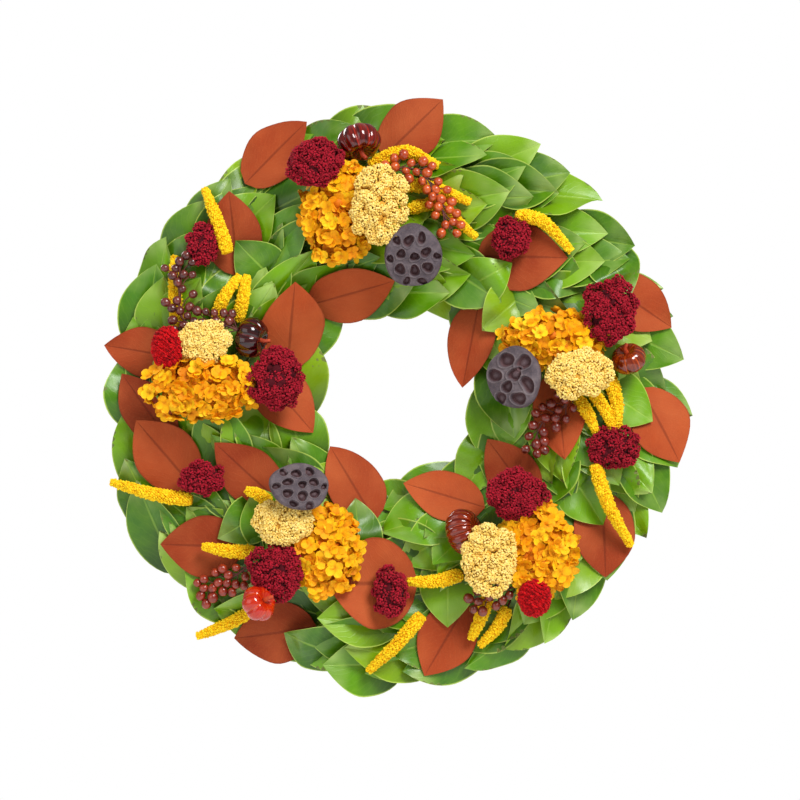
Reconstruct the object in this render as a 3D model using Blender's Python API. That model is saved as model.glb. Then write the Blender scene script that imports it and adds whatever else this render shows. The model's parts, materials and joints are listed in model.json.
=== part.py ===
"""Harvest door wreath: a foam ring dressed with leaves, five bouquets and five accent picks.

Metres, +Z up. The wreath stands as it hangs: its ring lies in the XZ plane and its front faces -Y.
The world origin is the hang point, at the inner top of the wire hanger loop.
"""
import math
import random

import bmesh
import bpy
import numpy as np
from mathutils import Matrix, Vector
from mathutils.bvhtree import BVHTree

MM = 0.001

# Foam ring: a flat-faced ring with chamfered edges.
FORM_MID_RADIUS = 0.180
FORM_WIDTH = 0.080
FORM_THICKNESS = 0.035
FORM_CHAMFER = 0.008
FORM_SEGMENTS = 60

# Hanger: a wire loop that swings in a staple pushed into the ring's rim.
LOOP_WIRE_RADIUS = 0.0012
LOOP_HALF_WIDTH = 0.014
LOOP_HEIGHT = 0.035
LOOP_CORNER_RADIUS = 0.008
LOOP_SIDES = 8
STAPLE_WIRE_RADIUS = 0.0010
STAPLE_LEG_LENGTH = 0.020
STAPLE_PLAY = 0.0006
HINGE_RISE = 0.0021
HANGER_TO_BACK = 0.013

# Foliage: five leafy sections that wrap the front and the sides of the ring.
LEAF_TIP_REACH = 0.063
LEAF_NOTCH_REACH = 0.047
INNER_TIP_REACH = 0.060
INNER_NOTCH_REACH = 0.050
CROWN_FRONT = 0.052
TIP_FRONT = 0.019
TIP_BACK = 0.012
SHINGLE_STEP = 0.005
SECTIONS = 5
OUTER_LOBES = 6
INNER_LOBES = 3
SWIRL_DEGREES = 24.0
SECTION_START_DEGREES = 74.0
SECTION_GAP = 0.0007
RIM_CLEARANCE = 0.0015
LOBE_RISE_SHARE = 0.94
LOBE_ARC = (0.15, 0.90)

# Brown leaves: cupped blades that lie on the foliage.
BROWN_LEAF_LENGTH = 0.074
BROWN_LEAF_WIDTH = 0.054
BROWN_LEAF_THICKNESS = 0.0016
BROWN_LEAF_FOLD = 0.005

# Domed heads: heights above their widest line; UNDER_SHARE of that height lies below it.
HYDRANGEA_HEIGHT = 0.027
YARROW_HEIGHT = 0.016
CRIMSON_HEIGHT = 0.019
CELOSIA_HEIGHT = 0.017
PICK_HEIGHT = 0.0152
UNDER_SHARE = 0.40
UNDER_WIDTH = 0.62
UNDER_DROP = 0.80

# Fruits and pods. Each profile gives shares of the half width and of the height, from below to the top.
PUMPKIN_HEIGHT = 0.017
PUMPKIN_PROFILE = ((0.0, -0.72), (0.62, -0.66), (0.93, -0.30), (1.0, 0.12), (0.84, 0.60), (0.48, 0.86))
PUMPKIN_RIBS = 8
PUMPKIN_RIB_DEPTH = 0.05
PUMPKIN_DIMPLE = 0.74
PUMPKIN_STEM_LENGTH = 0.007
PUMPKIN_STEM_RADIUS = 0.0024
LOTUS_HEIGHT = 0.026
LOTUS_PROFILE = ((0.0, -0.55), (0.28, -0.50), (0.72, 0.10), (1.0, 0.62), (0.94, 0.82), (0.55, 0.88),
                 (0.0, 0.90))
LOTUS_HOLE_RADIUS = 0.0038
LOTUS_HOLE_DEPTH = 0.006
LOTUS_HOLE_TAPER = 0.8
LOTUS_HOLES = 6
LOTUS_HOLE_RING = 0.58

# Sprays and spikes.
BERRY_RADIUS = 0.0062
BERRY_STEM_RADIUS = 0.0014
BERRY_PITCH = 0.0145
SPIKE_RADIUS = 0.0058
SPIKE_NARROWING = 0.55
SPIKE_LIFT = 0.0075
SPIKE_STEM_RADIUS = 0.0014
TIE_RADIUS = 0.0034
TIE_HALF_LENGTH = 0.006

# Gaps: between a piece and the one under it, and around the staple's legs.
SEAT_GAP = 0.0003
HOLE_GAP = 0.0003
START_IN_FRONT = 0.30
TILT_DEGREES_AT_EDGE = 40.0

# The layout below was set out, in millimetres from the ring's centre, on a ring of this mid radius.
LAYOUT_RADIUS = 0.180

# Heads: x, z, half width, half height, from the back of each bouquet to its front.
# Sprigs and sprays: lists of x, z along each stem.
BOUQUETS = {
    "top": {
        "spikes": ((-16, 206), ((-27, 220), (7, 233), (38, 220)), ((-3, 202), (34, 198), (68, 185)),
                   ((10, 178), (38, 181), (74, 152))),
        "berries": ((-6, 198), (1, 216), (24, 208), (48, 164)),
        "hydrangea": (-53, 177, 37, 47),
        "yarrow": (-16, 179, 25, 34),
        "crimson": (-77, 218, 24, 24),
        "lotus": (16, 139, 26, 30),
        "pumpkin": (-36, 241, 23, 19),
    },
    "right": {
        "spikes": ((182, 20), ((169, 0), (180, -14), (188, -32)), ((184, 7), (197, -12), (207, -36)),
                   ((201, 21), (208, -4), (209, -32))),
        "berries": ((168, 8), (151, -8), (137, -20), (131, -40)),
        "hydrangea": (149, 53, 50, 28),
        "yarrow": (172, 23, 29, 22),
        "crimson": (200, 80, 24, 29),
        "lotus": (120, 20, 28, 28),
        "pumpkin": (219, 36, 17, 16),
    },
    "lower_right": {
        "spikes": ((88, -172), ((62, -168), (38, -174), (12, -175)), ((86, -188), (80, -208), (71, -229)),
                   ((105, -200), (96, -218), (80, -236))),
        "berries": ((106, -198), (94, -193), (78, -192)),
        "pumpkin": (64, -128, 22, 22),
        "hydrangea": (134, -144, 36, 45),
        "yarrow": (86, -152, 25, 32),
        "crimson": (111, -92, 27, 21),
        "celosia": (129, -188, 14, 18),
    },
    "lower_left": {
        "spikes": ((-118, -128), ((-134, -147), (-158, -146), (-183, -142)),
                   ((-121, -100), (-130, -93), (-142, -88)), ((-141, -206), (-164, -218), (-190, -229))),
        "berries": ((-140, -162), (-156, -170), (-172, -180)),
        "hydrangea": (-68, -143, 36, 42),
        "yarrow": (-107, -118, 25, 20),
        "crimson": (-114, -163, 24, 27),
        "lotus": (-97, -89, 28, 22),
        "pumpkin": (-129, -193, 19, 15),
    },
    "left": {
        "spikes": ((-178, 62), ((-208, 66), (-211, 98), (-212, 133)), ((-172, 74), (-164, 94), (-150, 114)),
                   ((-152, 72), (-146, 92), (-142, 114))),
        "berries": ((-158, 70), (-178, 77), (-194, 88), (-203, 124)),
        "hydrangea": (-183, 8, 52, 31),
        "yarrow": (-182, 53, 23, 18),
        "crimson": (-117, 18, 27, 28),
        "celosia": (-216, 46, 14, 20),
        "pumpkin": (-138, 56, 23, 16),
    },
}

# Accent picks: crimson head (x, z, half width, half height) and the spike that starts in it.
PICKS = {
    "upper_left": ((-184, 144, 14, 18), ((-180, 148), (-166, 166), (-183, 197))),
    "upper_right": ((108, 151, 16, 18), ((110, 158), (136, 168), (164, 139))),
    "right": ((205, -48, 23, 18), ((200, -52), (200, -100), (222, -140))),
    "bottom": ((-6, -185, 15, 22), ((0, -192), (16, -222), (-26, -260))),
    "left": ((-184, -77, 19, 14), ((-190, -80), (-226, -98), (-268, -84))),
}

# Brown leaves: x, z of the middle and of the tip.
BROWN_LEAVES = (
    ((12, 254), (44, 283)), ((124, 133), (160, 132)), ((238, 81), (260, 68)), ((250, -26), (270, -60)),
    ((198, -137), (199, -171)), ((46, -236), (24, -260)), ((-124, -227), (-155, -231)),
    ((-187, -142), (-222, -141)), ((-245, -3), (-263, 22)), ((-247, 46), (-276, 51)),
    ((-115, 238), (-88, 263)), ((-44, -87), (-67, -53)),
)

COLOURS = {
    "foam": ((0.24, 0.42, 0.16), 0.9, 0.0),
    "wire": ((0.55, 0.55, 0.57), 0.35, 1.0),
    "leaf_green": ((0.12, 0.32, 0.06), 0.35, 0.0),
    "leaf_brown": ((0.42, 0.16, 0.07), 0.8, 0.0),
    "hydrangea_gold": ((0.92, 0.42, 0.03), 0.8, 0.0),
    "yarrow_yellow": ((0.92, 0.62, 0.16), 0.9, 0.0),
    "crimson": ((0.28, 0.01, 0.04), 0.85, 0.0),
    "celosia_red": ((0.62, 0.01, 0.04), 0.9, 0.0),
    "pumpkin_maroon": ((0.30, 0.04, 0.02), 0.2, 0.0),
    "lotus_grey": ((0.10, 0.08, 0.09), 0.7, 0.0),
    "berry_copper": ((0.35, 0.09, 0.04), 0.35, 0.0),
    "spike_yellow": ((0.95, 0.58, 0.02), 0.85, 0.0),
}

RNG = random.Random(12)
FORM_OUTER = FORM_MID_RADIUS + FORM_WIDTH / 2
FORM_INNER = FORM_MID_RADIUS - FORM_WIDTH / 2
RIM_FLAT = FORM_OUTER * math.cos(math.pi / FORM_SEGMENTS)
HINGE_Z = -LOOP_HEIGHT
CENTRE_Z = HINGE_Z - HINGE_RISE - RIM_FLAT
FORM_BACK_Y = HANGER_TO_BACK
FORM_FRONT_Y = HANGER_TO_BACK - FORM_THICKNESS
OUTER_TIP = FORM_OUTER + LEAF_TIP_REACH
INNER_TIP = FORM_INNER - INNER_TIP_REACH


def make_material(name):
    """The Principled material of one named finish."""
    if name in bpy.data.materials:
        return bpy.data.materials[name]
    colour, roughness, metallic = COLOURS[name]
    made = bpy.data.materials.new(name)
    made.use_nodes = True
    shader = made.node_tree.nodes["Principled BSDF"]
    shader.inputs["Base Color"].default_value = (*colour, 1.0)
    shader.inputs["Roughness"].default_value = roughness
    shader.inputs["Metallic"].default_value = metallic
    return made


def make_object(name, solid, finish, origin=(0, 0, 0), smooth=False, cutter=False):
    """A scene object from (points, faces); its own origin is put at the world point given."""
    points, faces = solid
    local = np.asarray(points, dtype=float) - np.asarray(origin, dtype=float)
    mesh = bpy.data.meshes.new(name)
    mesh.from_pydata(local.tolist(), [], faces)
    body = bmesh.new()
    body.from_mesh(mesh)
    bmesh.ops.recalc_face_normals(body, faces=body.faces)
    body.to_mesh(mesh)
    body.free()
    for face in mesh.polygons:
        face.use_smooth = smooth
    made = bpy.data.objects.new(name, mesh)
    made.location = origin
    bpy.context.scene.collection.objects.link(made)
    if cutter:
        made.hide_render = True
        made.display_type = "WIRE"
    else:
        mesh.materials.append(make_material(finish))
    return made


def add_boolean(target, other, operation):
    """An exact boolean between a piece and a hidden helper solid."""
    step = target.modifiers.new(other.name, "BOOLEAN")
    step.operation = operation
    step.solver = "EXACT"
    step.object = other


def in_triangles(points, faces):
    """A solid's points with its faces cut into triangles, so that every later step sees one surface."""
    cut = [(face[0], b, c) for face in faces for b, c in zip(face[1:], face[2:])]
    return np.array([tuple(p) for p in points]), cut


def lathe(profile, segments, turn=0.0, ripple=None):
    """A closed solid turned about +Z from (radius, height) points, the first and last on the axis.

    ripple(angle, step) scales the radius, so that ribs and bumps can be raised on the turned surface.
    """
    points = [(0.0, 0.0, profile[0][1])]
    for step, (radius, height) in enumerate(profile[1:-1]):
        for k in range(segments):
            angle = turn + 2 * math.pi * k / segments
            scale = ripple(angle, step) if ripple else 1.0
            points.append((radius * scale * math.cos(angle), radius * scale * math.sin(angle), height))
    points.append((0.0, 0.0, profile[-1][1]))
    rings = len(profile) - 2
    faces = [(0, 1 + (k + 1) % segments, 1 + k) for k in range(segments)]
    for ring in range(rings - 1):
        low = 1 + ring * segments
        high = low + segments
        for k in range(segments):
            after = (k + 1) % segments
            faces.append((low + k, low + after, high + after, high + k))
    last = len(points) - 1
    top = 1 + (rings - 1) * segments
    faces += [(last, top + k, top + (k + 1) % segments) for k in range(segments)]
    return in_triangles(points, faces)


def ring_lathe(profile, segments, turn):
    """A closed ring turned about +Z from a closed loop of (radius, height) points."""
    points = []
    for k in range(segments):
        angle = turn + 2 * math.pi * k / segments
        points += [(r * math.cos(angle), r * math.sin(angle), h) for r, h in profile]
    count = len(profile)
    faces = []
    for k in range(segments):
        here = k * count
        there = (k + 1) % segments * count
        for j in range(count):
            after = (j + 1) % count
            faces.append((here + j, there + j, there + after, here + after))
    return in_triangles(points, faces)


def sweep(path, radii, sides, closed=False):
    """A tube along a path, with its own radius at each point; open ends get flat caps."""
    path = [Vector(p) for p in path]
    count = len(path)
    points = []
    across = None
    for i, here in enumerate(path):
        before = path[(i - 1) % count] if closed or i > 0 else here
        after = path[(i + 1) % count] if closed or i < count - 1 else here
        along = (after - before).normalized()
        if across is None:
            across = along.orthogonal().normalized()
        across = (across - along * across.dot(along)).normalized()
        up = along.cross(across)
        for k in range(sides):
            angle = 2 * math.pi * k / sides
            points.append(here + radii[i] * (math.cos(angle) * across + math.sin(angle) * up))
    faces = []
    for i in range(count if closed else count - 1):
        here = i * sides
        there = (i + 1) % count * sides
        for k in range(sides):
            after = (k + 1) % sides
            faces.append((here + k, here + after, there + after, there + k))
    if not closed:
        faces.append(tuple(reversed(range(sides))))
        faces.append(tuple(range((count - 1) * sides, count * sides)))
    return in_triangles(points, faces)


def plane_loop(half_width, bottom, top, corner, steps=4):
    """Points round a loop in the XZ plane: straight foot, rounded corners and a half-round top."""
    points = []
    arcs = (
        (half_width - corner, bottom + corner, corner, -90, 0, steps),
        (0.0, top - half_width, half_width, 0, 180, 3 * steps),
        (corner - half_width, bottom + corner, corner, 180, 270, steps),
    )
    for x, z, radius, start, end, count in arcs:
        for k in range(count + 1):
            angle = math.radians(start + (end - start) * k / count)
            points.append((x + radius * math.cos(angle), 0.0, z + radius * math.sin(angle)))
    return points


def front_height(radius):
    """How far the foliage's front stands before the hang plane at a distance from the ring's centre."""
    span = OUTER_TIP - FORM_MID_RADIUS if radius > FORM_MID_RADIUS else FORM_MID_RADIUS - INNER_TIP
    share = min(1.0, abs(radius - FORM_MID_RADIUS) / span)
    return CROWN_FRONT + (TIP_FRONT - CROWN_FRONT) * share ** 2


def laid_out(x, z):
    """The world x and z of a layout point, moved out or in with the foam ring's mid radius."""
    point = Vector((x, z)) * MM
    grown = point.length + FORM_MID_RADIUS - LAYOUT_RADIUS
    point = point.normalized() * grown
    return point.x, CENTRE_Z + point.y


def front_point(x, z, lift=0.0):
    """A world point on the foliage's front over a layout point, lifted towards the viewer."""
    wx, wz = laid_out(x, z)
    return Vector((wx, -front_height(math.hypot(wx, wz - CENTRE_Z)) - lift, wz))


def outward_frame(x, z):
    """A rotation that turns +Z to face the front, tilted away from the ring's middle line."""
    wx, wz = laid_out(x, z)
    radial = Vector((wx, 0.0, wz - CENTRE_Z))
    side = radial.length - FORM_MID_RADIUS
    tilt = math.radians(TILT_DEGREES_AT_EDGE) * side / (OUTER_TIP - FORM_MID_RADIUS)
    facing = (Vector((0, -1, 0)) * math.cos(tilt) + radial.normalized() * math.sin(tilt)).normalized()
    right = (Vector((1, 0, 0)) - facing * facing.x).normalized()
    return Matrix((right, facing.cross(right), facing)).transposed()


def place(solid, x, z):
    """A solid made about +Z, turned to the front and moved over a layout point."""
    points, faces = solid
    turn = np.array(outward_frame(x, z))
    return points @ turn.T + np.array(front_point(x, z)), faces


class Pile:
    """Everything placed so far; each new piece is moved back until it almost rests on the pile."""

    def __init__(self):
        self.points = np.zeros((0, 3))
        self.faces = []

    def tree(self):
        return BVHTree.FromPolygons([tuple(p) for p in self.points], self.faces)

    def add(self, solid):
        points, faces = solid
        start = len(self.points)
        self.points = np.vstack([self.points, points])
        self.faces += [tuple(start + i for i in face) for face in faces]

    def samples(self, low, high):
        """Corners and edge middles of the pile that lie within a piece's outline box."""
        used = [f for f in self.faces if any(low[0] <= self.points[i][0] <= high[0]
                                             and low[2] <= self.points[i][2] <= high[2] for i in f)]
        return edge_samples(self.points, used)

    def seat(self, solids, extra=0.0):
        """Moves the solids of one piece together along Y, to stand one gap before the pile."""
        whole = joined(solids)
        points, faces = whole
        points = points - np.array([0.0, START_IN_FRONT, 0.0])
        own = BVHTree.FromPolygons([tuple(p) for p in points], faces)
        pile = self.tree()
        back = Vector((0, 1, 0))
        travel = []
        for p in edge_samples(points, faces):
            distance = pile.ray_cast(Vector(p), back)[3]
            if distance is not None:
                travel.append(distance)
        for p in self.samples(points.min(axis=0), points.max(axis=0)):
            distance = own.ray_cast(Vector(p), -back)[3]
            if distance is not None:
                travel.append(distance)
        move = (min(travel) if travel else START_IN_FRONT) - SEAT_GAP - extra - START_IN_FRONT
        while True:
            shifted = [(s[0] + np.array([0.0, move, 0.0]), s[1]) for s in solids]
            test, _ = joined(shifted)
            tree = BVHTree.FromPolygons([tuple(p) for p in test], faces)
            if not tree.overlap(pile):
                break
            move -= SEAT_GAP
        for solid in shifted:
            self.add(solid)
        return shifted


def joined(solids):
    """Several (points, faces) solids as one list of points and faces."""
    points = []
    faces = []
    for some, polygons in solids:
        start = sum(len(p) for p in points)
        points.append(np.asarray(some))
        faces += [tuple(start + i for i in face) for face in polygons]
    return np.vstack(points), faces


def edge_samples(points, faces):
    """The corners and the edge middles of some faces."""
    corners = {i for face in faces for i in face}
    edges = {tuple(sorted(pair)) for face in faces for pair in zip(face, face[1:] + face[:1])}
    return [points[i] for i in corners] + [(points[a] + points[b]) / 2 for a, b in edges]


def dome_profile(height, rings=4):
    """A low rounded underside and a full rounded top, as (radius, height) points one unit wide."""
    under = height * UNDER_SHARE
    points = [(0.0, -under), (UNDER_WIDTH, -under * UNDER_DROP)]
    for k in range(rings):
        angle = math.pi / 2 * k / rings
        points.append((math.cos(angle), height * math.sin(angle)))
    points.append((0.0, height))
    return points


def flower_head(half_x, half_y, height, segments, lobes, depth):
    """A domed flower head with shallow lobes round it, wider or taller than it is round."""
    phase = RNG.uniform(0, math.tau)
    points, faces = lathe(dome_profile(height), segments, phase,
                          lambda angle, step: 1 - depth + depth * math.cos(lobes * angle + phase + step))
    return points * np.array([half_x, half_y, 1.0]), faces


def pumpkin(half_x, half_y):
    """A ribbed, flattened fruit with a dimple and a short stem on top."""
    profile = [(radius, height * PUMPKIN_HEIGHT) for radius, height in PUMPKIN_PROFILE]
    ribbed = len(profile) - 1
    dimple = PUMPKIN_DIMPLE * PUMPKIN_HEIGHT
    stem = PUMPKIN_STEM_RADIUS / min(half_x, half_y)
    profile += [(stem, dimple), (stem, dimple + PUMPKIN_STEM_LENGTH), (0.0, dimple + PUMPKIN_STEM_LENGTH)]

    def ripple(angle, step):
        return 1 - PUMPKIN_RIB_DEPTH * (1 - math.cos(PUMPKIN_RIBS * angle)) if step < ribbed else 1.0

    points, faces = lathe(profile, 2 * PUMPKIN_RIBS, 0.0, ripple)
    return points * np.array([half_x, half_y, 1.0]), faces


def lotus_pod(half_x, half_y):
    """A cone-shaped seed pod with a wide, slightly rounded top."""
    points, faces = lathe([(radius, height * LOTUS_HEIGHT) for radius, height in LOTUS_PROFILE], 20)
    return points * np.array([half_x, half_y, 1.0]), faces


def lotus_holes(half_x, half_y):
    """The seed pits of a pod: one in the middle and the rest in a ring."""
    top = LOTUS_PROFILE[-1][1] * LOTUS_HEIGHT
    low, high = top - LOTUS_HOLE_DEPTH, top + LOTUS_HOLE_DEPTH
    spots = [(0.0, 0.0)]
    for k in range(LOTUS_HOLES):
        angle = math.tau * k / LOTUS_HOLES
        spots.append((LOTUS_HOLE_RING * half_x * math.cos(angle), LOTUS_HOLE_RING * half_y * math.sin(angle)))
    pits = []
    for x, y in spots:
        points, faces = lathe([(0.0, low), (LOTUS_HOLE_RADIUS * LOTUS_HOLE_TAPER, low),
                               (LOTUS_HOLE_RADIUS, high), (0.0, high)], 8)
        pits.append((points + np.array([x, y, 0.0]), faces))
    return pits


def along_path(corners, count):
    """Evenly spaced points on a smooth curve through a few corners."""
    corners = [Vector(c) for c in corners]
    padded = [2 * corners[0] - corners[1]] + corners + [2 * corners[-1] - corners[-2]]
    points = []
    for i in range(count):
        place_on = (len(corners) - 1) * i / (count - 1)
        k = min(int(place_on), len(corners) - 2)
        t = place_on - k
        a, b, c, d = padded[k:k + 4]
        points.append(0.5 * (2 * b + (c - a) * t + (2 * a - 5 * b + 4 * c - d) * t ** 2
                             + (3 * b - a - 3 * c + d) * t ** 3))
    return points


def berry_spray(stops):
    """A stem with a row of berries on it, as one beaded tube over the foliage."""
    corners = [front_point(x, z, BERRY_RADIUS) for x, z in stops]
    length = sum((b - a).length for a, b in zip(corners, corners[1:]))
    berries = max(3, round(length / BERRY_PITCH))
    per_berry = 5
    bead = (0.30, 0.85, 1.0, 0.85, 0.30)
    path = along_path(corners, berries * per_berry)
    radii = [max(BERRY_STEM_RADIUS, BERRY_RADIUS * bead[i % per_berry]) for i in range(len(path))]
    return sweep(path, radii, 7)


def spike(stops, bare_stem=True, steps=8):
    """A fuzzy flower spike: a thin stem up to the second stop, then a full body that narrows to its tip."""
    lifts = [0.0 if bare_stem and k == 0 else SPIKE_LIFT for k in range(len(stops))]
    corners = [front_point(x, z, lift) for (x, z), lift in zip(stops, lifts)]
    path = along_path(corners, steps)
    body_start = 1 / (len(stops) - 1) if bare_stem else 0.0
    radii = []
    for i in range(steps):
        body = (i / (steps - 1) - body_start) / (1 - body_start)
        full = SPIKE_RADIUS * (1.0 - SPIKE_NARROWING * body ** 2)
        radii.append(SPIKE_STEM_RADIUS if body < 0 else full)
    return sweep(path, radii, 7)


def blade(middle, tip):
    """A pointed leaf blade, folded along its midrib and cupped to the foliage under it."""
    centre = Vector(middle)
    along = (Vector(tip) - centre).normalized()
    side = Vector((-along.y, along.x))
    stations = 8
    points = []
    for i in range(stations):
        share = i / (stations - 1)
        width = BROWN_LEAF_WIDTH / 2 * max(0.06, math.sin(math.pi * share ** 0.85) ** 0.7)
        along_mm = (share - 0.5) * BROWN_LEAF_LENGTH / MM
        row = []
        for across, fold in ((-1, 1.0), (0, 0.0), (1, 1.0)):
            spot = centre + along * along_mm + side * across * width / MM
            lift = BROWN_LEAF_FOLD * fold * math.sin(math.pi * share)
            row.append(front_point(spot.x, spot.y, lift))
        depth = Vector((0, -BROWN_LEAF_THICKNESS, 0))
        points += row + [p + depth for p in reversed(row)]
    faces = []
    for i in range(stations - 1):
        for k in range(6):
            after = (k + 1) % 6
            faces.append((6 * i + k, 6 * i + after, 6 * i + 6 + after, 6 * i + 6 + k))
    for start in (0, 6 * (stations - 1)):
        faces += [(start, start + 1, start + 4, start + 5), (start + 1, start + 2, start + 3, start + 4)]
    return in_triangles(points, faces)


def lobe_columns():
    """The columns of a section: a lobe's number, and the share of the lobe's width from its foot."""
    columns = [(lobe, share) for lobe in range(OUTER_LOBES) for share in (0.0, 0.5, LOBE_RISE_SHARE)]
    columns[-1] = (OUTER_LOBES - 1, 1.0)
    return columns


def section_stations(lobe, share):
    """The places across one column, from the inner edge to the outer: radius, and how far behind the front."""
    low, high = LOBE_ARC
    outer_shape = math.sin(math.pi * (low + (high - low) * share))
    inner_shape = abs(math.sin(math.pi * INNER_LOBES * (lobe + share) / OUTER_LOBES))
    outer = FORM_OUTER + LEAF_NOTCH_REACH + (LEAF_TIP_REACH - LEAF_NOTCH_REACH) * outer_shape
    inner = FORM_INNER - INNER_NOTCH_REACH - (INNER_TIP_REACH - INNER_NOTCH_REACH) * inner_shape
    face_back = -FORM_FRONT_Y + 2 * SEAT_GAP
    side_back = -FORM_FRONT_Y - FORM_CHAMFER - RIM_CLEARANCE / 2
    return (
        (inner, TIP_BACK),
        ((inner + FORM_INNER) / 2, TIP_BACK),
        (FORM_INNER - RIM_CLEARANCE, side_back),
        (FORM_INNER + FORM_CHAMFER, face_back),
        (FORM_MID_RADIUS, face_back),
        (FORM_OUTER - FORM_CHAMFER, face_back),
        (FORM_OUTER + RIM_CLEARANCE, side_back),
        ((outer + FORM_OUTER) / 2, TIP_BACK),
        (outer, TIP_BACK),
    )


def foliage_section(index):
    """One fifth of the foliage: a shingled shell with pointed lobes, wrapped over the foam ring."""
    section = math.tau / SECTIONS
    start = math.radians(SECTION_START_DEGREES) - section * index
    half_gap = SECTION_GAP / INNER_TIP / 2
    usable = section - 2 * half_gap
    front = []
    back = []
    for lobe, share in lobe_columns():
        angle = start - half_gap - usable * (lobe + share) / OUTER_LOBES
        drop = SHINGLE_STEP * (1 - min(1.0, share / LOBE_RISE_SHARE))
        for radius, behind in section_stations(lobe, share):
            swirl = math.radians(SWIRL_DEGREES) * abs(radius - FORM_MID_RADIUS) / (OUTER_TIP - FORM_MID_RADIUS)
            x = radius * math.cos(angle - swirl)
            z = CENTRE_Z + radius * math.sin(angle - swirl)
            front.append((x, drop - front_height(radius), z))
            back.append((x, -behind, z))
    wide = len(section_stations(0, 0.0))
    tall = len(front) // wide
    behind = len(front)
    faces = []
    for c in range(tall - 1):
        for s in range(wide - 1):
            a = c * wide + s
            faces.append((a, a + 1, a + wide + 1, a + wide))
            faces.append((behind + a, behind + a + wide, behind + a + wide + 1, behind + a + 1))
        for edge in (0, wide - 1):
            a = c * wide + edge
            faces.append((a, a + wide, behind + a + wide, behind + a))
    for c in (0, tall - 1):
        for s in range(wide - 1):
            a = c * wide + s
            faces.append((a, behind + a, behind + a + 1, a + 1))
    return in_triangles(front + back, faces)


def build_form():
    """The foam ring, with two small holes in its rim for the staple's legs."""
    inner, outer, bevel = FORM_INNER, FORM_OUTER, FORM_CHAMFER
    low, high = -FORM_BACK_Y, -FORM_FRONT_Y
    profile = [(inner + bevel, low), (outer - bevel, low), (outer, low + bevel), (outer, high - bevel),
               (outer - bevel, high), (inner + bevel, high), (inner, high - bevel), (inner, low + bevel)]
    points, faces = ring_lathe(profile, FORM_SEGMENTS, math.pi / 2 + math.pi / FORM_SEGMENTS)
    stood = np.column_stack([points[:, 0], -points[:, 2], points[:, 1] + CENTRE_Z])
    form = make_object("foam_form", (stood, faces), "foam", (0, 0, CENTRE_Z))
    spread = staple_leg_offset()
    for side in (-1, 1):
        bottom = HINGE_Z - HINGE_RISE - STAPLE_LEG_LENGTH - HOLE_GAP
        top = HINGE_Z
        path = [(0, side * spread, bottom), (0, side * spread, top)]
        radius = STAPLE_WIRE_RADIUS + HOLE_GAP
        hole = make_object(f"staple_hole_{'front' if side < 0 else 'back'}",
                           sweep(path, [radius, radius], 12), None, cutter=True)
        add_boolean(form, hole, "DIFFERENCE")
    return stood, faces


def staple_leg_offset():
    """How far each staple leg stands from the hinge line."""
    return LOOP_WIRE_RADIUS + STAPLE_PLAY + STAPLE_WIRE_RADIUS


def build_hanger():
    """The staple in the rim and the wire loop that swings in it about the X axis."""
    spread = staple_leg_offset()
    bottom = HINGE_Z - HINGE_RISE - STAPLE_LEG_LENGTH
    path = [(0, -spread, bottom), (0, -spread, bottom + STAPLE_LEG_LENGTH / 2)]
    steps = 8
    for k in range(steps + 1):
        angle = math.pi * k / steps
        path.append((0, -spread * math.cos(angle), HINGE_Z + spread * math.sin(angle)))
    path += [(0, spread, bottom + STAPLE_LEG_LENGTH / 2), (0, spread, bottom)]
    staple = sweep(path, [STAPLE_WIRE_RADIUS] * len(path), 8)
    make_object("hanger_staple", staple, "wire", (0, 0, HINGE_Z), smooth=True)
    loop_path = plane_loop(LOOP_HALF_WIDTH, HINGE_Z, LOOP_WIRE_RADIUS, LOOP_CORNER_RADIUS)
    loop = sweep(loop_path, [LOOP_WIRE_RADIUS] * len(loop_path), LOOP_SIDES, closed=True)
    make_object("hanger_loop", loop, "wire", (0, 0, HINGE_Z), smooth=True)


def centre_of(points):
    """The middle of a solid's bounding box, used as its object's origin."""
    return (points.min(axis=0) + points.max(axis=0)) / 2


def seat_piece(pile, name, solid, finish, smooth=False):
    """Seats one plain solid on the pile and makes its object."""
    seated = pile.seat([solid])[0]
    make_object(name, seated, finish, centre_of(seated[0]), smooth)


def seat_union(pile, name, solids, finish):
    """Seats several overlapping solids on the pile and makes them one piece."""
    seated = pile.seat(solids)
    origin = centre_of(seated[0][0])
    made = make_object(name, seated[0], finish, origin, smooth=True)
    for k, solid in enumerate(seated[1:], 1):
        helper = make_object(f"{name}_join_{k}", solid, None, origin, cutter=True)
        add_boolean(made, helper, "UNION")


def sprig(root, *stems):
    """Three spikes whose thin stems meet in one wrapped tie."""
    middle = front_point(*root, TIE_RADIUS)
    tie = sweep([middle + Vector((0, 0, TIE_HALF_LENGTH)), middle - Vector((0, 0, TIE_HALF_LENGTH))],
                [TIE_RADIUS, TIE_RADIUS], 9)
    x, z = root
    return [tie] + [spike(((x + step, z + step),) + stops) for step, stops in zip((-1, 0, 1), stems)]


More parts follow.
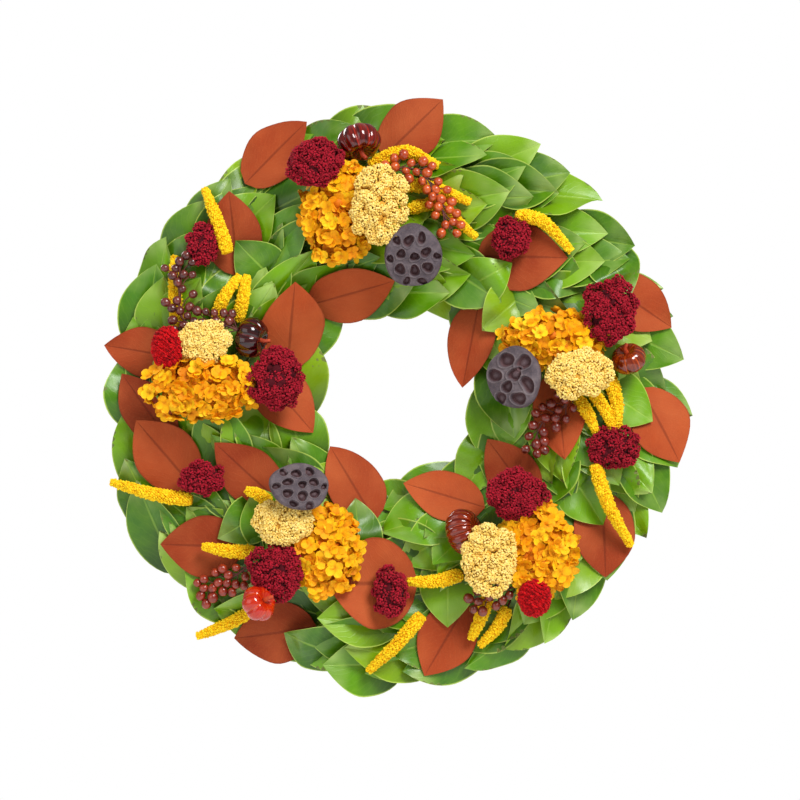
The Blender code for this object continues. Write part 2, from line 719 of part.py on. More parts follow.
def build_bouquet(pile, name, pieces):
    """One bouquet, seated piece by piece in the order of its layout."""
    heads = {
        "hydrangea": (HYDRANGEA_HEIGHT, 14, 7, 0.05, "hydrangea_gold"),
        "yarrow": (YARROW_HEIGHT, 12, 5, 0.04, "yarrow_yellow"),
        "crimson": (CRIMSON_HEIGHT, 12, 5, 0.05, "crimson"),
        "celosia": (CELOSIA_HEIGHT, 12, 6, 0.06, "celosia_red"),
    }
    for kind, layout in pieces.items():
        node = f"{name}_{kind}"
        if kind == "spikes":
            seat_union(pile, node, sprig(*layout), "spike_yellow")
        elif kind == "berries":
            seat_piece(pile, node, berry_spray(layout), "berry_copper", smooth=True)
        elif kind == "lotus":
            build_lotus(pile, node, layout)
        else:
            x, z, half_x, half_z = layout
            if kind == "pumpkin":
                solid, finish = pumpkin(half_x * MM, half_z * MM), "pumpkin_maroon"
            else:
                height, segments, lobes, depth, finish = heads[kind]
                solid = flower_head(half_x * MM, half_z * MM, height, segments, lobes, depth)
            seat_piece(pile, node, place(solid, x, z), finish, smooth=True)


def build_lotus(pile, node, layout):
    """A seed pod with its pits cut by hidden helper solids that move with it."""
    x, z, half_x, half_z = layout
    before = place(lotus_pod(half_x * MM, half_z * MM), x, z)
    seated = pile.seat([before])[0]
    shift = seated[0][0] - before[0][0]
    origin = centre_of(seated[0])
    pod = make_object(node, seated, "lotus_grey", origin, smooth=True)
    for k, pit in enumerate(lotus_holes(half_x * MM, half_z * MM)):
        points, faces = place(pit, x, z)
        helper = make_object(f"{node}_pit_{k}", (points + shift, faces), None, origin, cutter=True)
        add_boolean(pod, helper, "DIFFERENCE")


def build_pick(pile, name, pieces):
    """An accent pick: a small crimson head and the spike whose stem starts inside it."""
    (x, z, half_x, half_z), stops = pieces
    head = place(flower_head(half_x * MM, half_z * MM, PICK_HEIGHT, 12, 5, 0.05), x, z)
    seat_union(pile, f"pick_{name}", [head, spike(stops, bare_stem=False)], "crimson")


def main():
    for old in list(bpy.data.objects):
        bpy.data.objects.remove(old)
    pile = Pile()
    pile.add(build_form())
    build_hanger()
    for index in range(SECTIONS):
        solid = foliage_section(index)
        make_object(f"foliage_{index + 1}", solid, "leaf_green", (0, 0, CENTRE_Z))
        pile.add(solid)
    for number, (middle, tip) in enumerate(BROWN_LEAVES, 1):
        seat_piece(pile, f"brown_leaf_{number:02d}", blade(middle, tip), "leaf_brown")
    for name, pieces in BOUQUETS.items():
        build_bouquet(pile, name, pieces)
    for name, pieces in PICKS.items():
        build_pick(pile, name, pieces)


main()
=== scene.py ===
"""Looks of the harvest door wreath: its leaves, flower heads, pods, fruits, berries and spikes.

Metres, +Z up. The ring lies in the XZ plane with its front facing -Y.
"""
import json
import math

import bpy
import numpy as np
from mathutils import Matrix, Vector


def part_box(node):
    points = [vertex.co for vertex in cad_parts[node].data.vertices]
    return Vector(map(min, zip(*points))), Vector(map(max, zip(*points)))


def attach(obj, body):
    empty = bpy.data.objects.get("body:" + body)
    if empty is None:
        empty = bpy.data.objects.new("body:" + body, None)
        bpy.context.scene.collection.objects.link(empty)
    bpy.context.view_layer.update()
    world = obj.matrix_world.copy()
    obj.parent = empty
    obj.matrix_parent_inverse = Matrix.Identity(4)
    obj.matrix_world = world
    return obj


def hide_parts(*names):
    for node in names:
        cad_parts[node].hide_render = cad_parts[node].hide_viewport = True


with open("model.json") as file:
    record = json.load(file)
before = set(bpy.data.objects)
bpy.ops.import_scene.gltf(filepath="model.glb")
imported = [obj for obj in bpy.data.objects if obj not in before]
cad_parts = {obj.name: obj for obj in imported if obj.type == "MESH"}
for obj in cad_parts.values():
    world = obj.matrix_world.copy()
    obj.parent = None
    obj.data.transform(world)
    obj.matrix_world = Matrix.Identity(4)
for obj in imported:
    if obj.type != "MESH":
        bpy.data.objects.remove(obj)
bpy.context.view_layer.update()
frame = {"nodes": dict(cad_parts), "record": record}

MM = 0.001
RNG = np.random.default_rng(31)
FRONT = np.array([0.0, -1.0, 0.0])

MOUNTS = {m["name"]: m for m in frame["record"]["mounts"]}
CENTRE_Z = MOUNTS["back_face"]["pos_m"][2]
MID_RADIUS = MOUNTS["back_face"]["pos_m"][0]
FORM_LOW, FORM_HIGH = map(np.array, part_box("foam_form"))
FORM_OUTER = (FORM_HIGH[0] - FORM_LOW[0]) / 2
FORM_INNER = 2 * MID_RADIUS - FORM_OUTER
FOLIAGE_BOXES = [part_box(f"foliage_{k}") for k in range(1, 6)]
CROWN_FRONT = -min(box[0][1] for box in FOLIAGE_BOXES)
TIP_RADIUS = max(box[1][0] for box in FOLIAGE_BOXES)
LEAF_OVERHANG = 0.060
INNER_TIP_RADIUS = FORM_INNER - LEAF_OVERHANG
TIP_FRONT = 0.019


# ---------------------------------------------------------------- geometry

class Shape:
    """Points, faces and their values, gathered before they become one mesh object."""

    def __init__(self):
        self.points, self.faces, self.uvs, self.tints, self.slots = [], [], [], [], []
        self.count = 0

    def add(self, points, faces, uvs=None, tint=0.5, slot=0):
        points = np.asarray(points, dtype=float)
        faces = np.asarray(faces)
        self.points.append(points)
        self.faces.append(faces + self.count)
        self.uvs.append(np.zeros((len(points), 2)) if uvs is None else uvs)
        self.tints.append(np.broadcast_to(np.asarray(tint, dtype=float), (len(points),)))
        self.slots.append(np.full(len(faces), slot))
        self.count += len(points)

    def build(self, name, materials, nodes, slot_name, body="wreath"):
        """Makes the object, puts it on its body and hides the CAD nodes that it stands for."""
        points = np.vstack(self.points)
        loops = np.concatenate([f.ravel() for f in self.faces])
        sizes = np.concatenate([np.full(len(f), f.shape[1]) for f in self.faces])
        mesh = bpy.data.meshes.new(name)
        mesh.vertices.add(len(points))
        mesh.vertices.foreach_set("co", points.ravel())
        mesh.loops.add(len(loops))
        mesh.loops.foreach_set("vertex_index", loops.astype(np.int32))
        mesh.polygons.add(len(sizes))
        starts = np.concatenate([[0], np.cumsum(sizes)[:-1]])
        mesh.polygons.foreach_set("loop_start", starts.astype(np.int32))
        mesh.polygons.foreach_set("material_index", np.concatenate(self.slots).astype(np.int32))
        mesh.polygons.foreach_set("use_smooth", np.ones(len(sizes), dtype=bool))
        mesh.update(calc_edges=True)
        layer = mesh.uv_layers.new(name="UVMap")
        layer.data.foreach_set("uv", np.vstack(self.uvs)[loops].ravel())
        tint = mesh.attributes.new("tint", "FLOAT", "POINT")
        tint.data.foreach_set("value", np.concatenate(self.tints).astype(np.float32))
        mesh.validate()
        made = bpy.data.objects.new(name, mesh)
        bpy.context.scene.collection.objects.link(made)
        for material in materials:
            mesh.materials.append(material)
        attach(made, body)
        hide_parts(*nodes)


def unit(vector):
    """A vector, or each row of an array, at length one."""
    vector = np.asarray(vector, dtype=float)
    return vector / np.maximum(np.linalg.norm(vector, axis=-1, keepdims=True), 1e-12)


def stacked(*parts):
    """Separate arrays of coordinates as rows of points or uvs."""
    return np.stack(parts, axis=-1).reshape(-1, len(parts))


def crossed(down, across):
    """Two arrays of values over a grid: one changes from row to row, the other along each row."""
    return np.meshgrid(down, across, indexing="ij")


def round_grid(start, end, rows, around):
    """A value that changes from row to row, and the angle round each row."""
    return crossed(np.linspace(start, end, rows), np.linspace(0, math.tau, around, endpoint=False))


def grid_faces(rows, columns, wrap=False):
    """Quads over a grid of points stored row by row; wrap joins the last column to the first."""
    r, c = crossed(np.arange(rows - 1), np.arange(columns if wrap else columns - 1))
    after = (c + 1) % columns
    here = r * columns
    return stacked(here + c, here + after, here + columns + after, here + columns + c)


def facing_frame(along, facing):
    """Rows: right, along and up, for a piece that lies along one direction and looks towards another."""
    along = unit(along)
    up = unit(facing - along * np.dot(facing, along))
    return np.array([np.cross(along, up), along, up])


def turned(vector, axis, angle):
    """A vector turned about an axis."""
    axis = unit(axis)
    return (vector * math.cos(angle) + np.cross(axis, vector) * math.sin(angle)
            + axis * np.dot(axis, vector) * (1 - math.cos(angle)))


def ring_radius(place):
    """How far a place lies from the ring's centre, seen from the front."""
    return math.hypot(place[0], place[2] - CENTRE_Z)


def ring_point(radius, angle, y):
    """A world point at a distance from the ring's centre, at an angle anticlockwise from the right."""
    return np.array([radius * math.cos(angle), y, CENTRE_Z + radius * math.sin(angle)])


def smooth_path(stops, count):
    """Evenly stepped points on a smooth curve through the stops."""
    stops = np.asarray(stops, dtype=float)
    padded = np.vstack([2 * stops[0] - stops[1], stops, 2 * stops[-1] - stops[-2]])
    place = np.linspace(0, len(stops) - 1, count)
    k = np.minimum(place.astype(int), len(stops) - 2)
    t = (place - k)[:, None]
    a, b, c, d = (padded[k + i] for i in range(4))
    return (2 * b + (c - a) * t + (2 * a - 5 * b + 4 * c - d) * t ** 2
            + (3 * b - a - 3 * c + d) * t ** 3) * 0.5


def path_frames(path):
    """Along, side and up directions at each point of a path."""
    along = unit(np.gradient(path, axis=0))
    side = unit(np.cross(along, FRONT + 1e-3))
    return along, side, np.cross(side, along)


def add_tube(shape, path, radii, sides, tint, slot=0):
    """A tube with a radius at each point of its path; its ends taper shut."""
    path = np.vstack([path[:1], path, path[-1:]])
    radii = np.concatenate([[1e-5], np.broadcast_to(radii, (len(path) - 2,)), [1e-5]])
    _, side, up = path_frames(path + np.linspace(0, 1e-6, len(path))[:, None])
    angle = np.linspace(0, math.tau, sides, endpoint=False)
    ring = np.cos(angle)[None, :, None] * side[:, None] + np.sin(angle)[None, :, None] * up[:, None]
    points = (path[:, None] + ring * radii[:, None, None]).reshape(-1, 3)
    u, v = crossed(np.linspace(0, 1, len(path)), np.linspace(0, 1, sides))
    shape.add(points, grid_faces(len(path), sides, wrap=True), stacked(u, v), tint, slot)


WIDEST = 0.50


def leaf_blade(length, width, fold, curl, ripple, rows, columns):
    """A broad pointed leaf: local x across, y along and z up, creased along its midrib, with wavy edges.

    Returns the points and uvs of a grid; u runs from base to tip and v across, with the midrib at 0.5.
    """
    u, v = crossed(np.linspace(0, 1, rows), np.linspace(-1, 1, columns))
    to_tip = np.clip((u - WIDEST) / (1 - WIDEST), 0, 1)
    to_base = np.clip((WIDEST - u) / WIDEST, 0, 1)
    outline = (1 - to_tip ** 1.8) * np.maximum(1 - to_base ** 2.4, 0) ** 0.65
    x = width / 2 * outline * v
    phase = RNG.uniform(0, math.tau, 2)
    wave = np.sin(math.tau * RNG.uniform(1.1, 1.9) * u + np.where(v < 0, phase[0], phase[1]))
    wave = wave * np.abs(v) ** 2.2
    crease = fold * (0.20 + 0.80 * u ** 2)
    z = crease * (np.abs(x) - 0.45 * x ** 2 / (width / 2)) + ripple * wave * outline ** 0.6
    z = z + length * curl * np.clip(u - 0.35, 0, 1) ** 2
    y = length * u
    twist = RNG.uniform(-0.20, 0.20) * u
    x, z = x * np.cos(twist) - z * np.sin(twist), x * np.sin(twist) + z * np.cos(twist)
    return stacked(x, y, z), stacked(u, v / 2 + 0.5)


LEAF_ROWS, LEAF_COLUMNS = 17, 11
LEAF_THICKNESS = 0.0005


def add_leaf(shape, base, tip, facing, width, fold, curl, ripple, top_slot, under_slot, over_brown=False):
    """One leaf with a top and an underside, from its base to its tip, laid under or over its neighbours."""
    tint = RNG.uniform(0, 1)
    length = np.linalg.norm(tip - base)
    local, uvs = leaf_blade(length, width, fold, curl, ripple, LEAF_ROWS, LEAF_COLUMNS)
    local = base + local @ facing_frame(tip - base, facing)
    top = cover.drape(local) if over_brown else cover.press(local)
    if top is None:
        return None
    faces = grid_faces(LEAF_ROWS, LEAF_COLUMNS)
    edge = (np.abs(uvs[:, 1] - 0.5) > 0.499) | (uvs[:, 0] < 0.001) | (uvs[:, 0] > 0.999)
    under = top - FRONT * np.where(edge, 0.02, 1.0)[:, None] * LEAF_THICKNESS
    shape.add(top, faces, uvs, tint, top_slot)
    shape.add(under, faces[:, ::-1], uvs, tint, under_slot)
    cover.put_leaf(top)
    return top


def neighbours(grid):
    """Each cell of a grid with the eight round it, as nine stacked copies."""
    padded = np.pad(grid, 1, mode="edge")
    rows, columns = grid.shape
    return np.stack([padded[i:i + rows, j:j + columns] for i in range(3) for j in range(3)])


def evened(distance):
    """Distances over a leaf's grid, none less than its neighbours', smoothed to keep the leaf smooth."""
    return neighbours(neighbours(distance).max(axis=0)).mean(axis=0).reshape(-1, 1)


class Cover:
    """Grids over the wreath's front that say how far back leaves must stay.

    The first grid holds only what must be seen; the second also holds the feet of brown leaves. A leaf that
    meets nothing in the first may lie over those feet, and any other leaf goes behind everything. Two more
    serve the few green leaves that lie over a brown one: the limits kept before the brown leaves were laid,
    and the front of all the leaves laid so far.
    """

    STEP = 0.002
    REACH = 0.34
    SLOPE = 0.9
    ROUNDS = 14
    GAP = 0.0012
    MARGIN = 0.001

    def __init__(self):
        count = int(2 * self.REACH / self.STEP) + 1
        self.seen = np.full((count, count), -1.0)
        self.whole = self.seen.copy()
        self.pieces = self.seen.copy()
        self.leaf_front = np.full((count, count), 1.0)

    def cells(self, points):
        across = np.rint((points[:, 0] + self.REACH) / self.STEP).astype(int)
        up = np.rint((points[:, 2] - CENTRE_Z + self.REACH) / self.STEP).astype(int)
        last = len(self.seen) - 1
        return np.clip(across, 0, last), np.clip(up, 0, last)

    def put(self, points, radius, seen=True):
        """Notes that leaves stay behind these points, and behind what is within a radius of them."""
        span = int(radius / self.STEP)
        across, up = self.cells(points)
        for i in range(-span, span + 1):
            for j in range(-span, span + 1):
                if i * i + j * j <= span * span:
                    for grid in (self.seen, self.whole) if seen else (self.whole,):
                        np.maximum.at(grid, (across + i, up + j), points[:, 1])

    def put_leaf(self, points):
        """Notes the front of a leaf, a little beyond its edge too."""
        across, up = self.cells(points)
        for i in range(-2, 3):
            for j in range(-2, 3):
                np.minimum.at(self.leaf_front, (across + i, up + j), points[:, 1])

    def spread(self):
        """Lets a leaf rise again only gently beside the piece that covers it."""
        for grid in (self.seen, self.whole):
            for _ in range(self.ROUNDS):
                for shift, axis in ((1, 0), (-1, 0), (1, 1), (-1, 1)):
                    np.maximum(grid, np.roll(grid, shift, axis) - self.SLOPE * self.STEP, out=grid)

    def press(self, points):
        """A leaf's points, moved back behind whatever covers them."""
        cells = self.cells(points)
        if (points[:, 1] >= self.seen[cells] + self.GAP).all():
            return points
        back = np.maximum(self.whole[cells] + self.GAP - points[:, 1], 0).reshape(LEAF_ROWS, LEAF_COLUMNS)
        return points - evened(back) * FRONT

    def drape(self, points):
        """A leaf's points, its outer half in front of the leaves there; None if a piece is in the way."""
        cells = self.cells(points)
        share = np.clip((np.linspace(0, 1, LEAF_ROWS) - 0.30) / 0.35, 0, 1)[:, None]
        forward = np.maximum(points[:, 1] - self.leaf_front[cells] + self.GAP, 0)
        draped = points + evened(forward.reshape(LEAF_ROWS, LEAF_COLUMNS) * share) * FRONT
        blocked = draped[:, 1] < self.pieces[cells] - self.MARGIN
        return None if blocked.any() else draped


def icosahedron():
    """The twelve corners and twenty faces of a unit icosahedron."""
    g = (1 + 5 ** 0.5) / 2
    corners = []
    for a in (-1, 1):
        for b in (-g, g):
            corners += [(0, a, b), (a, b, 0), (b, 0, a)]
    corners = unit(np.array(corners))
    faces = []
    for i in range(12):
        for j in range(i + 1, 12):
            for k in range(j + 1, 12):
                a, b, c = corners[i], corners[j], corners[k]
                if max(np.linalg.norm(a - b), np.linalg.norm(b - c), np.linalg.norm(a - c)) < 1.1:
                    outward = np.dot(np.cross(b - a, c - a), a) > 0
                    faces.append((i, j, k) if outward else (i, k, j))
    return corners, np.array(faces)


GRAIN_POINTS, GRAIN_FACES = icosahedron()


def add_grains(shape, centres, normals, radius, stretch, tints):
    """Many small uneven bumps, each stretched along its own normal."""
    count = len(centres)
    size = radius * RNG.uniform(0.75, 1.25, (count, 1, 1))
    uneven = RNG.uniform(0.82, 1.18, (count, len(GRAIN_POINTS), 1))
    normals = unit(normals)
    flat = GRAIN_POINTS[None] * uneven * size
    along = np.einsum("cpk,ck->cp", flat, normals)
    points = flat + along[..., None] * (stretch - 1) * normals[:, None] + centres[:, None]
    faces = GRAIN_FACES[None] + (np.arange(count) * len(GRAIN_POINTS))[:, None, None]
    tints = np.repeat(tints, len(GRAIN_POINTS))
    shape.add(points.reshape(-1, 3), faces.reshape(-1, 3), None, tints)


def sphere_directions(count, turn=0.0):
    """Evenly spread directions over a whole sphere."""
    k = np.arange(count) + 0.5
    polar = np.arccos(1 - 2 * k / count)
    azimuth = math.pi * (1 + 5 ** 0.5) * k + turn
    return stacked(np.cos(azimuth) * np.sin(polar), np.sin(azimuth) * np.sin(polar), np.cos(polar))


def head_space(node):
    """The middle and half sizes of a CAD node's box."""
    low, high = map(np.array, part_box(node))
    return (low + high) / 2, (high - low) / 2


# ---------------------------------------------------------------- materials

class Paint:
    """A Principled material and short calls for the nodes that feed it."""

    def __init__(self, name, roughness=0.5, **constants):
        self.material = bpy.data.materials.new(name)
        self.material.use_nodes = True
        self.tree = self.material.node_tree
        self.shader = self.tree.nodes["Principled BSDF"]
        self.shader.inputs["Roughness"].default_value = roughness
        for key, value in constants.items():
            self.shader.inputs[key.replace("_", " ")].default_value = value

    def node(self, kind, inputs=None, **settings):
        made = self.tree.nodes.new(kind)
        for key, value in settings.items():
            setattr(made, key, value)
        for key, value in (inputs or {}).items():
            if isinstance(value, bpy.types.NodeSocket):
                self.tree.links.new(value, made.inputs[key])
            else:
                made.inputs[key].default_value = value
        return made

    def tint(self):
        return self.node("ShaderNodeAttribute", attribute_name="tint").outputs["Fac"]

    def uv(self):
        place = self.node("ShaderNodeUVMap", uv_map="UVMap").outputs[0]
        split = self.node("ShaderNodeSeparateXYZ", {0: place})
        return split.outputs[0], split.outputs[1]

    def math(self, operation, a, b=0.0):
        return self.node("ShaderNodeMath", {0: a, 1: b}, operation=operation).outputs[0]

    def times(self, a, b):
        return self.math("MULTIPLY", a, b)

    def noise(self, scale, detail=3.0, roughness=0.55, vector=None):
        where = vector or self.node("ShaderNodeTexCoord").outputs["Object"]
        values = {"Vector": where, "Scale": scale, "Detail": detail, "Roughness": roughness}
        return self.node("ShaderNodeTexNoise", values).outputs["Fac"]

    def spread(self, value, low, high):
        """A value stretched so that low becomes 0 and high becomes 1."""
        values = {"Value": value, "From Min": low, "From Max": high}
        return self.node("ShaderNodeMapRange", values).outputs[0]

    def ramp(self, value, *stops):
        made = self.node("ShaderNodeValToRGB", {0: value})
        while len(made.color_ramp.elements) < len(stops):
            made.color_ramp.elements.new(0.5)
        for element, (place, colour) in zip(made.color_ramp.elements, stops):
            element.position = place
            element.color = (*linear(colour), 1.0)
        return made.outputs[0]

    def mix(self, share, a, b):
        """A blend from one colour to another; each is a node's output or an sRGB tuple."""
        made = self.node("ShaderNodeMix", data_type="RGBA")
        for socket, value in ((made.inputs[0], share), (made.inputs[6], a), (made.inputs[7], b)):
            if isinstance(value, tuple):
                socket.default_value = (*linear(value), 1.0)
            else:
                self.tree.links.new(value, socket)
        return made.outputs[2]

    def over(self, body, mask, share, colour):
        """The body with a colour laid over it where the mask says, never more than the share."""
        return self.mix(self.times(mask, share), body, colour)

    def finish(self, colour, height=None, depth=0.0005, strength=0.5, roughness=None):
        self.tree.links.new(colour, self.shader.inputs["Base Color"])
        if height is not None:
            bump = self.node("ShaderNodeBump", {"Height": height, "Distance": depth, "Strength": strength})
            self.tree.links.new(bump.outputs[0], self.shader.inputs["Normal"])
        if roughness is not None:
            self.tree.links.new(roughness, self.shader.inputs["Roughness"])
        return self.material


def linear(colour):
    """An sRGB colour given in 0 to 255, as linear light."""
    share = np.array(colour) / 255
    light = np.where(share <= 0.04045, share / 12.92, ((share + 0.055) / 1.055) ** 2.4)
    return tuple(map(float, light))


VEIN_SLANT = 0.85


def leaf_veins(paint, pitch=9.0):
    """Masks of a leaf's midrib, its side veins and its margin, each from 0 to 1."""
    u, v = paint.uv()
    side = paint.math("ABSOLUTE", paint.math("SUBTRACT", v, 0.5))
    midrib = paint.spread(side, 0.030, 0.010)
    margin = paint.spread(side, 0.472, 0.492)
    wobble = paint.times(paint.noise(60.0, 2.0), 0.25)
    run = paint.math("ADD", paint.math("SUBTRACT", u, paint.times(side, VEIN_SLANT)), wobble)
    wave = paint.math("SINE", paint.times(run, math.tau * pitch))
    veins = paint.spread(wave, 0.72, 1.0)
    return u, midrib, margin, veins


def green_leaf_material():
    """Glossy leaf top: mottled green with a pale midrib and margin, painted shade at its foot and a painted
    sheen at its tip.
    """
    paint = Paint("leaf_green_top", 0.30, Coat_Weight=0.14, Coat_Roughness=0.20, Specular_IOR_Level=0.34)
    u, midrib, margin, veins = leaf_veins(paint)
    body = paint.ramp(paint.tint(), (0.0, (46, 94, 0)), (0.35, (70, 126, 0)), (0.7, (102, 154, 0)),
                      (1.0, (134, 168, 12)))
    mottle = paint.spread(paint.noise(42.0, 4.0), 0.30, 0.75)
    body = paint.over(body, mottle, 0.45, (116, 164, 4))
    # Painted shade: the leaf's foot, which lies under its neighbours, is darkened.
    painted_foot_shade = paint.spread(u, 0.62, 0.15)
    body = paint.over(body, painted_foot_shade, 0.80, (24, 56, 0))
    # Painted sheen: pale patches near the tip stand in for the gloss highlight there.
    painted_tip_sheen = paint.times(paint.spread(u, 0.66, 0.98), paint.spread(paint.noise(30.0, 2.0), 0.40, 0.66))
    body = paint.over(body, painted_tip_sheen, 0.50, (204, 222, 138))
    body = paint.over(body, veins, 0.05, (150, 186, 60))
    body = paint.over(body, midrib, 0.38, (160, 196, 70))
    body = paint.over(body, margin, 0.85, (176, 200, 84))
    height = paint.math("SUBTRACT", paint.times(veins, 0.20), paint.times(midrib, 1.0))
    height = paint.math("ADD", height, paint.times(paint.noise(420.0, 3.0), 0.30))
    rough = paint.spread(paint.noise(90.0, 3.0), -0.5, 2.2)
    return paint.finish(body, height, 0.0006, 0.50, rough)


def green_under_material():
    """Duller olive underside of a green leaf, with raised veins."""
    paint = Paint("leaf_green_under", 0.62)
    _, midrib, _, veins = leaf_veins(paint)
    body = paint.ramp(paint.noise(34.0, 4.0), (0.25, (78, 98, 26)), (0.75, (118, 130, 54)))
    body = paint.over(body, veins, 0.30, (148, 158, 80))
    body = paint.over(body, midrib, 0.70, (180, 180, 104))
    height = paint.math("ADD", paint.times(veins, 0.5), midrib)
    return paint.finish(body, height, 0.0008, 0.7)


def brown_leaf_material():
    """Velvety rust-brown leaf: soft mottling, a dark midrib and faint veins."""
    paint = Paint("leaf_brown", 0.80, Specular_IOR_Level=0.22)
    _, midrib, margin, veins = leaf_veins(paint, 11.0)
    body = paint.ramp(paint.tint(), (0.0, (132, 46, 16)), (0.5, (160, 62, 24)), (1.0, (182, 78, 32)))
    mottle = paint.spread(paint.noise(38.0, 5.0, 0.6), 0.30, 0.72)
    body = paint.over(body, mottle, 0.50, (144, 56, 28))
    cloud = paint.spread(paint.noise(16.0, 3.0), 0.40, 0.70)
    body = paint.over(body, cloud, 0.55, (190, 96, 50))
    dust = paint.spread(paint.noise(900.0, 2.0), 0.55, 0.80)
    body = paint.over(body, dust, 0.18, (198, 118, 74))
    body = paint.over(body, veins, 0.08, (190, 96, 50))
    body = paint.over(body, midrib, 0.45, (88, 28, 12))
    body = paint.over(body, margin, 0.35, (100, 36, 16))
    height = paint.math("SUBTRACT", paint.times(veins, 0.3), paint.times(midrib, 0.9))
    height = paint.math("ADD", height, paint.times(paint.noise(1400.0, 2.0), 0.5))
    return paint.finish(body, height, 0.0006, 0.5)


def petal_material():
    """Golden petal: deeper orange at its foot as painted shade where the petals meet, paler at its rim,
    with fine veins.
    """
    paint = Paint("hydrangea_petal", 0.60, Subsurface_Weight=0.10, Subsurface_Scale=0.003,
                  Specular_IOR_Level=0.20)
    u, v = paint.uv()
    body = paint.ramp(paint.tint(), (0.0, (204, 108, 0)), (0.4, (240, 154, 0)), (0.75, (254, 184, 2)),
                      (1.0, (255, 206, 24)))
    # Painted shade: deeper orange at the petal's foot, where the petals meet in the floret's middle.
    body = paint.over(body, paint.spread(u, 0.45, 0.0), 0.70, (214, 112, 0))
    body = paint.over(body, paint.spread(u, 0.70, 1.0), 0.30, (255, 214, 60))
    fan = paint.math("SINE", paint.times(v, math.tau * 5.0))
    veins = paint.spread(fan, 0.4, 1.0)
    body = paint.over(body, veins, 0.16, (236, 150, 4))
    body = paint.over(body, paint.spread(paint.noise(220.0, 3.0), 0.45, 0.8), 0.22, (238, 140, 4))
    return paint.finish(body, paint.times(veins, -1.0), 0.0003, 0.5)


def grain_material(name, stops, speck, fineness, roughness=0.85, sheen=0.0):
    """Grainy flower surface: the tint picks the colour, and noise adds fine specks and bumps."""
    paint = Paint(name, roughness, Sheen_Weight=sheen, Sheen_Roughness=0.5, Specular_IOR_Level=0.2)
    body = paint.ramp(paint.tint(), *stops)
    specks = paint.spread(paint.noise(fineness, 3.0, 0.7), 0.58, 0.78)
    body = paint.over(body, specks, 0.55, speck)
    return paint.finish(body, paint.noise(fineness * 1.6, 3.0), 0.0004, 0.6)


def pumpkin_material(name, dark, warm):
    """Polished fruit skin: streaks run along the ribs, and the grooves between them are warmer."""
    paint = Paint(name, 0.16, Coat_Weight=0.5, Coat_Roughness=0.05, Specular_IOR_Level=0.4)
    u, v = paint.uv()
    place = paint.node("ShaderNodeCombineXYZ", {0: paint.times(v, 46.0), 1: paint.times(u, 2.2)}).outputs[0]
    streak = paint.spread(paint.noise(1.0, 4.0, 0.6, place), 0.40, 0.68)
    groove = paint.spread(paint.tint(), 0.55, 0.05)
    share = paint.math("MAXIMUM", paint.times(streak, 0.55), groove)
    body = paint.mix(share, dark, warm)
    rough = paint.spread(paint.noise(70.0, 3.0), -0.5, 6.5)
    return paint.finish(body, paint.noise(160.0, 3.0), 0.0004, 0.18, rough)


def calyx_material():
    """Dry woody calyx and stem of a small fruit."""
    paint = Paint("pumpkin_calyx", 0.7)
    body = paint.ramp(paint.noise(180.0, 4.0), (0.3, (136, 34, 10)), (0.7, (204, 74, 24)))
    return paint.finish(body, paint.noise(500.0, 3.0), 0.0005, 0.6)


def lotus_material():
    """Weathered grey-brown pod: fine streaks down its side and dark pits."""
    paint = Paint("lotus_pod", 0.72, Specular_IOR_Level=0.35)
    body = paint.ramp(paint.noise(70.0, 5.0, 0.65), (0.25, (52, 44, 50)), (0.5, (84, 74, 80)),
                      (0.8, (122, 110, 112)))
    fibre = paint.spread(paint.noise(700.0, 3.0), 0.50, 0.75)
    body = paint.over(body, fibre, 0.35, (128, 104, 98))
    body = paint.mix(paint.spread(paint.tint(), 0.50, 0.20), body, (94, 66, 68))
    body = paint.over(body, paint.spread(paint.tint(), 0.62, 0.95), 0.35, (134, 120, 120))
    height = paint.math("ADD", paint.noise(300.0, 4.0), paint.noise(1200.0, 2.0))
    return paint.finish(body, height, 0.0006, 0.6)


def berry_material(name, dark, light):
    """Waxy berry skin, lighter on one cheek."""
    paint = Paint(name, 0.28, Coat_Weight=0.4, Coat_Roughness=0.15)
    mottle = paint.spread(paint.noise(150.0, 4.0), 0.30, 0.72)
    body = paint.mix(mottle, dark, light)
    body = paint.mix(paint.spread(paint.tint(), 0.15, 0.02), body, (46, 22, 16))
    return paint.finish(body, paint.noise(600.0, 3.0), 0.0003, 0.35)


def twig_material():
    """Thin dark bark."""
    paint = Paint("berry_twig", 0.65)
    body = paint.ramp(paint.noise(260.0, 4.0), (0.3, (58, 24, 18)), (0.75, (116, 50, 34)))
    return paint.finish(body, paint.noise(700.0, 3.0), 0.0005, 0.7)


def foam_material():
    """Green extruded foam with tiny open cells."""
    paint = Paint("wreath_foam", 0.95, Specular_IOR_Level=0.15)
    where = paint.node("ShaderNodeTexCoord").outputs["Object"]
    cells = paint.node("ShaderNodeTexVoronoi", {"Vector": where, "Scale": 620.0}).outputs["Distance"]
    body = paint.ramp(paint.noise(18.0, 5.0), (0.3, (58, 104, 48)), (0.7, (82, 128, 62)))
    # Painted shade: the hollows of the cells are darkened.
    body = paint.over(body, paint.spread(cells, 0.35, 0.0), 0.5, (34, 66, 28))
    return paint.finish(body, cells, 0.0008, 0.8)


def wire_material():
    """Galvanised wire with dull drawn streaks."""
    paint = Paint("hanger_wire", 0.38, Metallic=1.0)
    body = paint.ramp(paint.noise(220.0, 4.0), (0.3, (120, 122, 126)), (0.7, (176, 178, 182)))
    rough = paint.spread(paint.noise(300.0), -0.6, 2.0)
    return paint.finish(body, paint.noise(900.0, 3.0), 0.0002, 0.4, rough)


# ---------------------------------------------------------------- where things lie

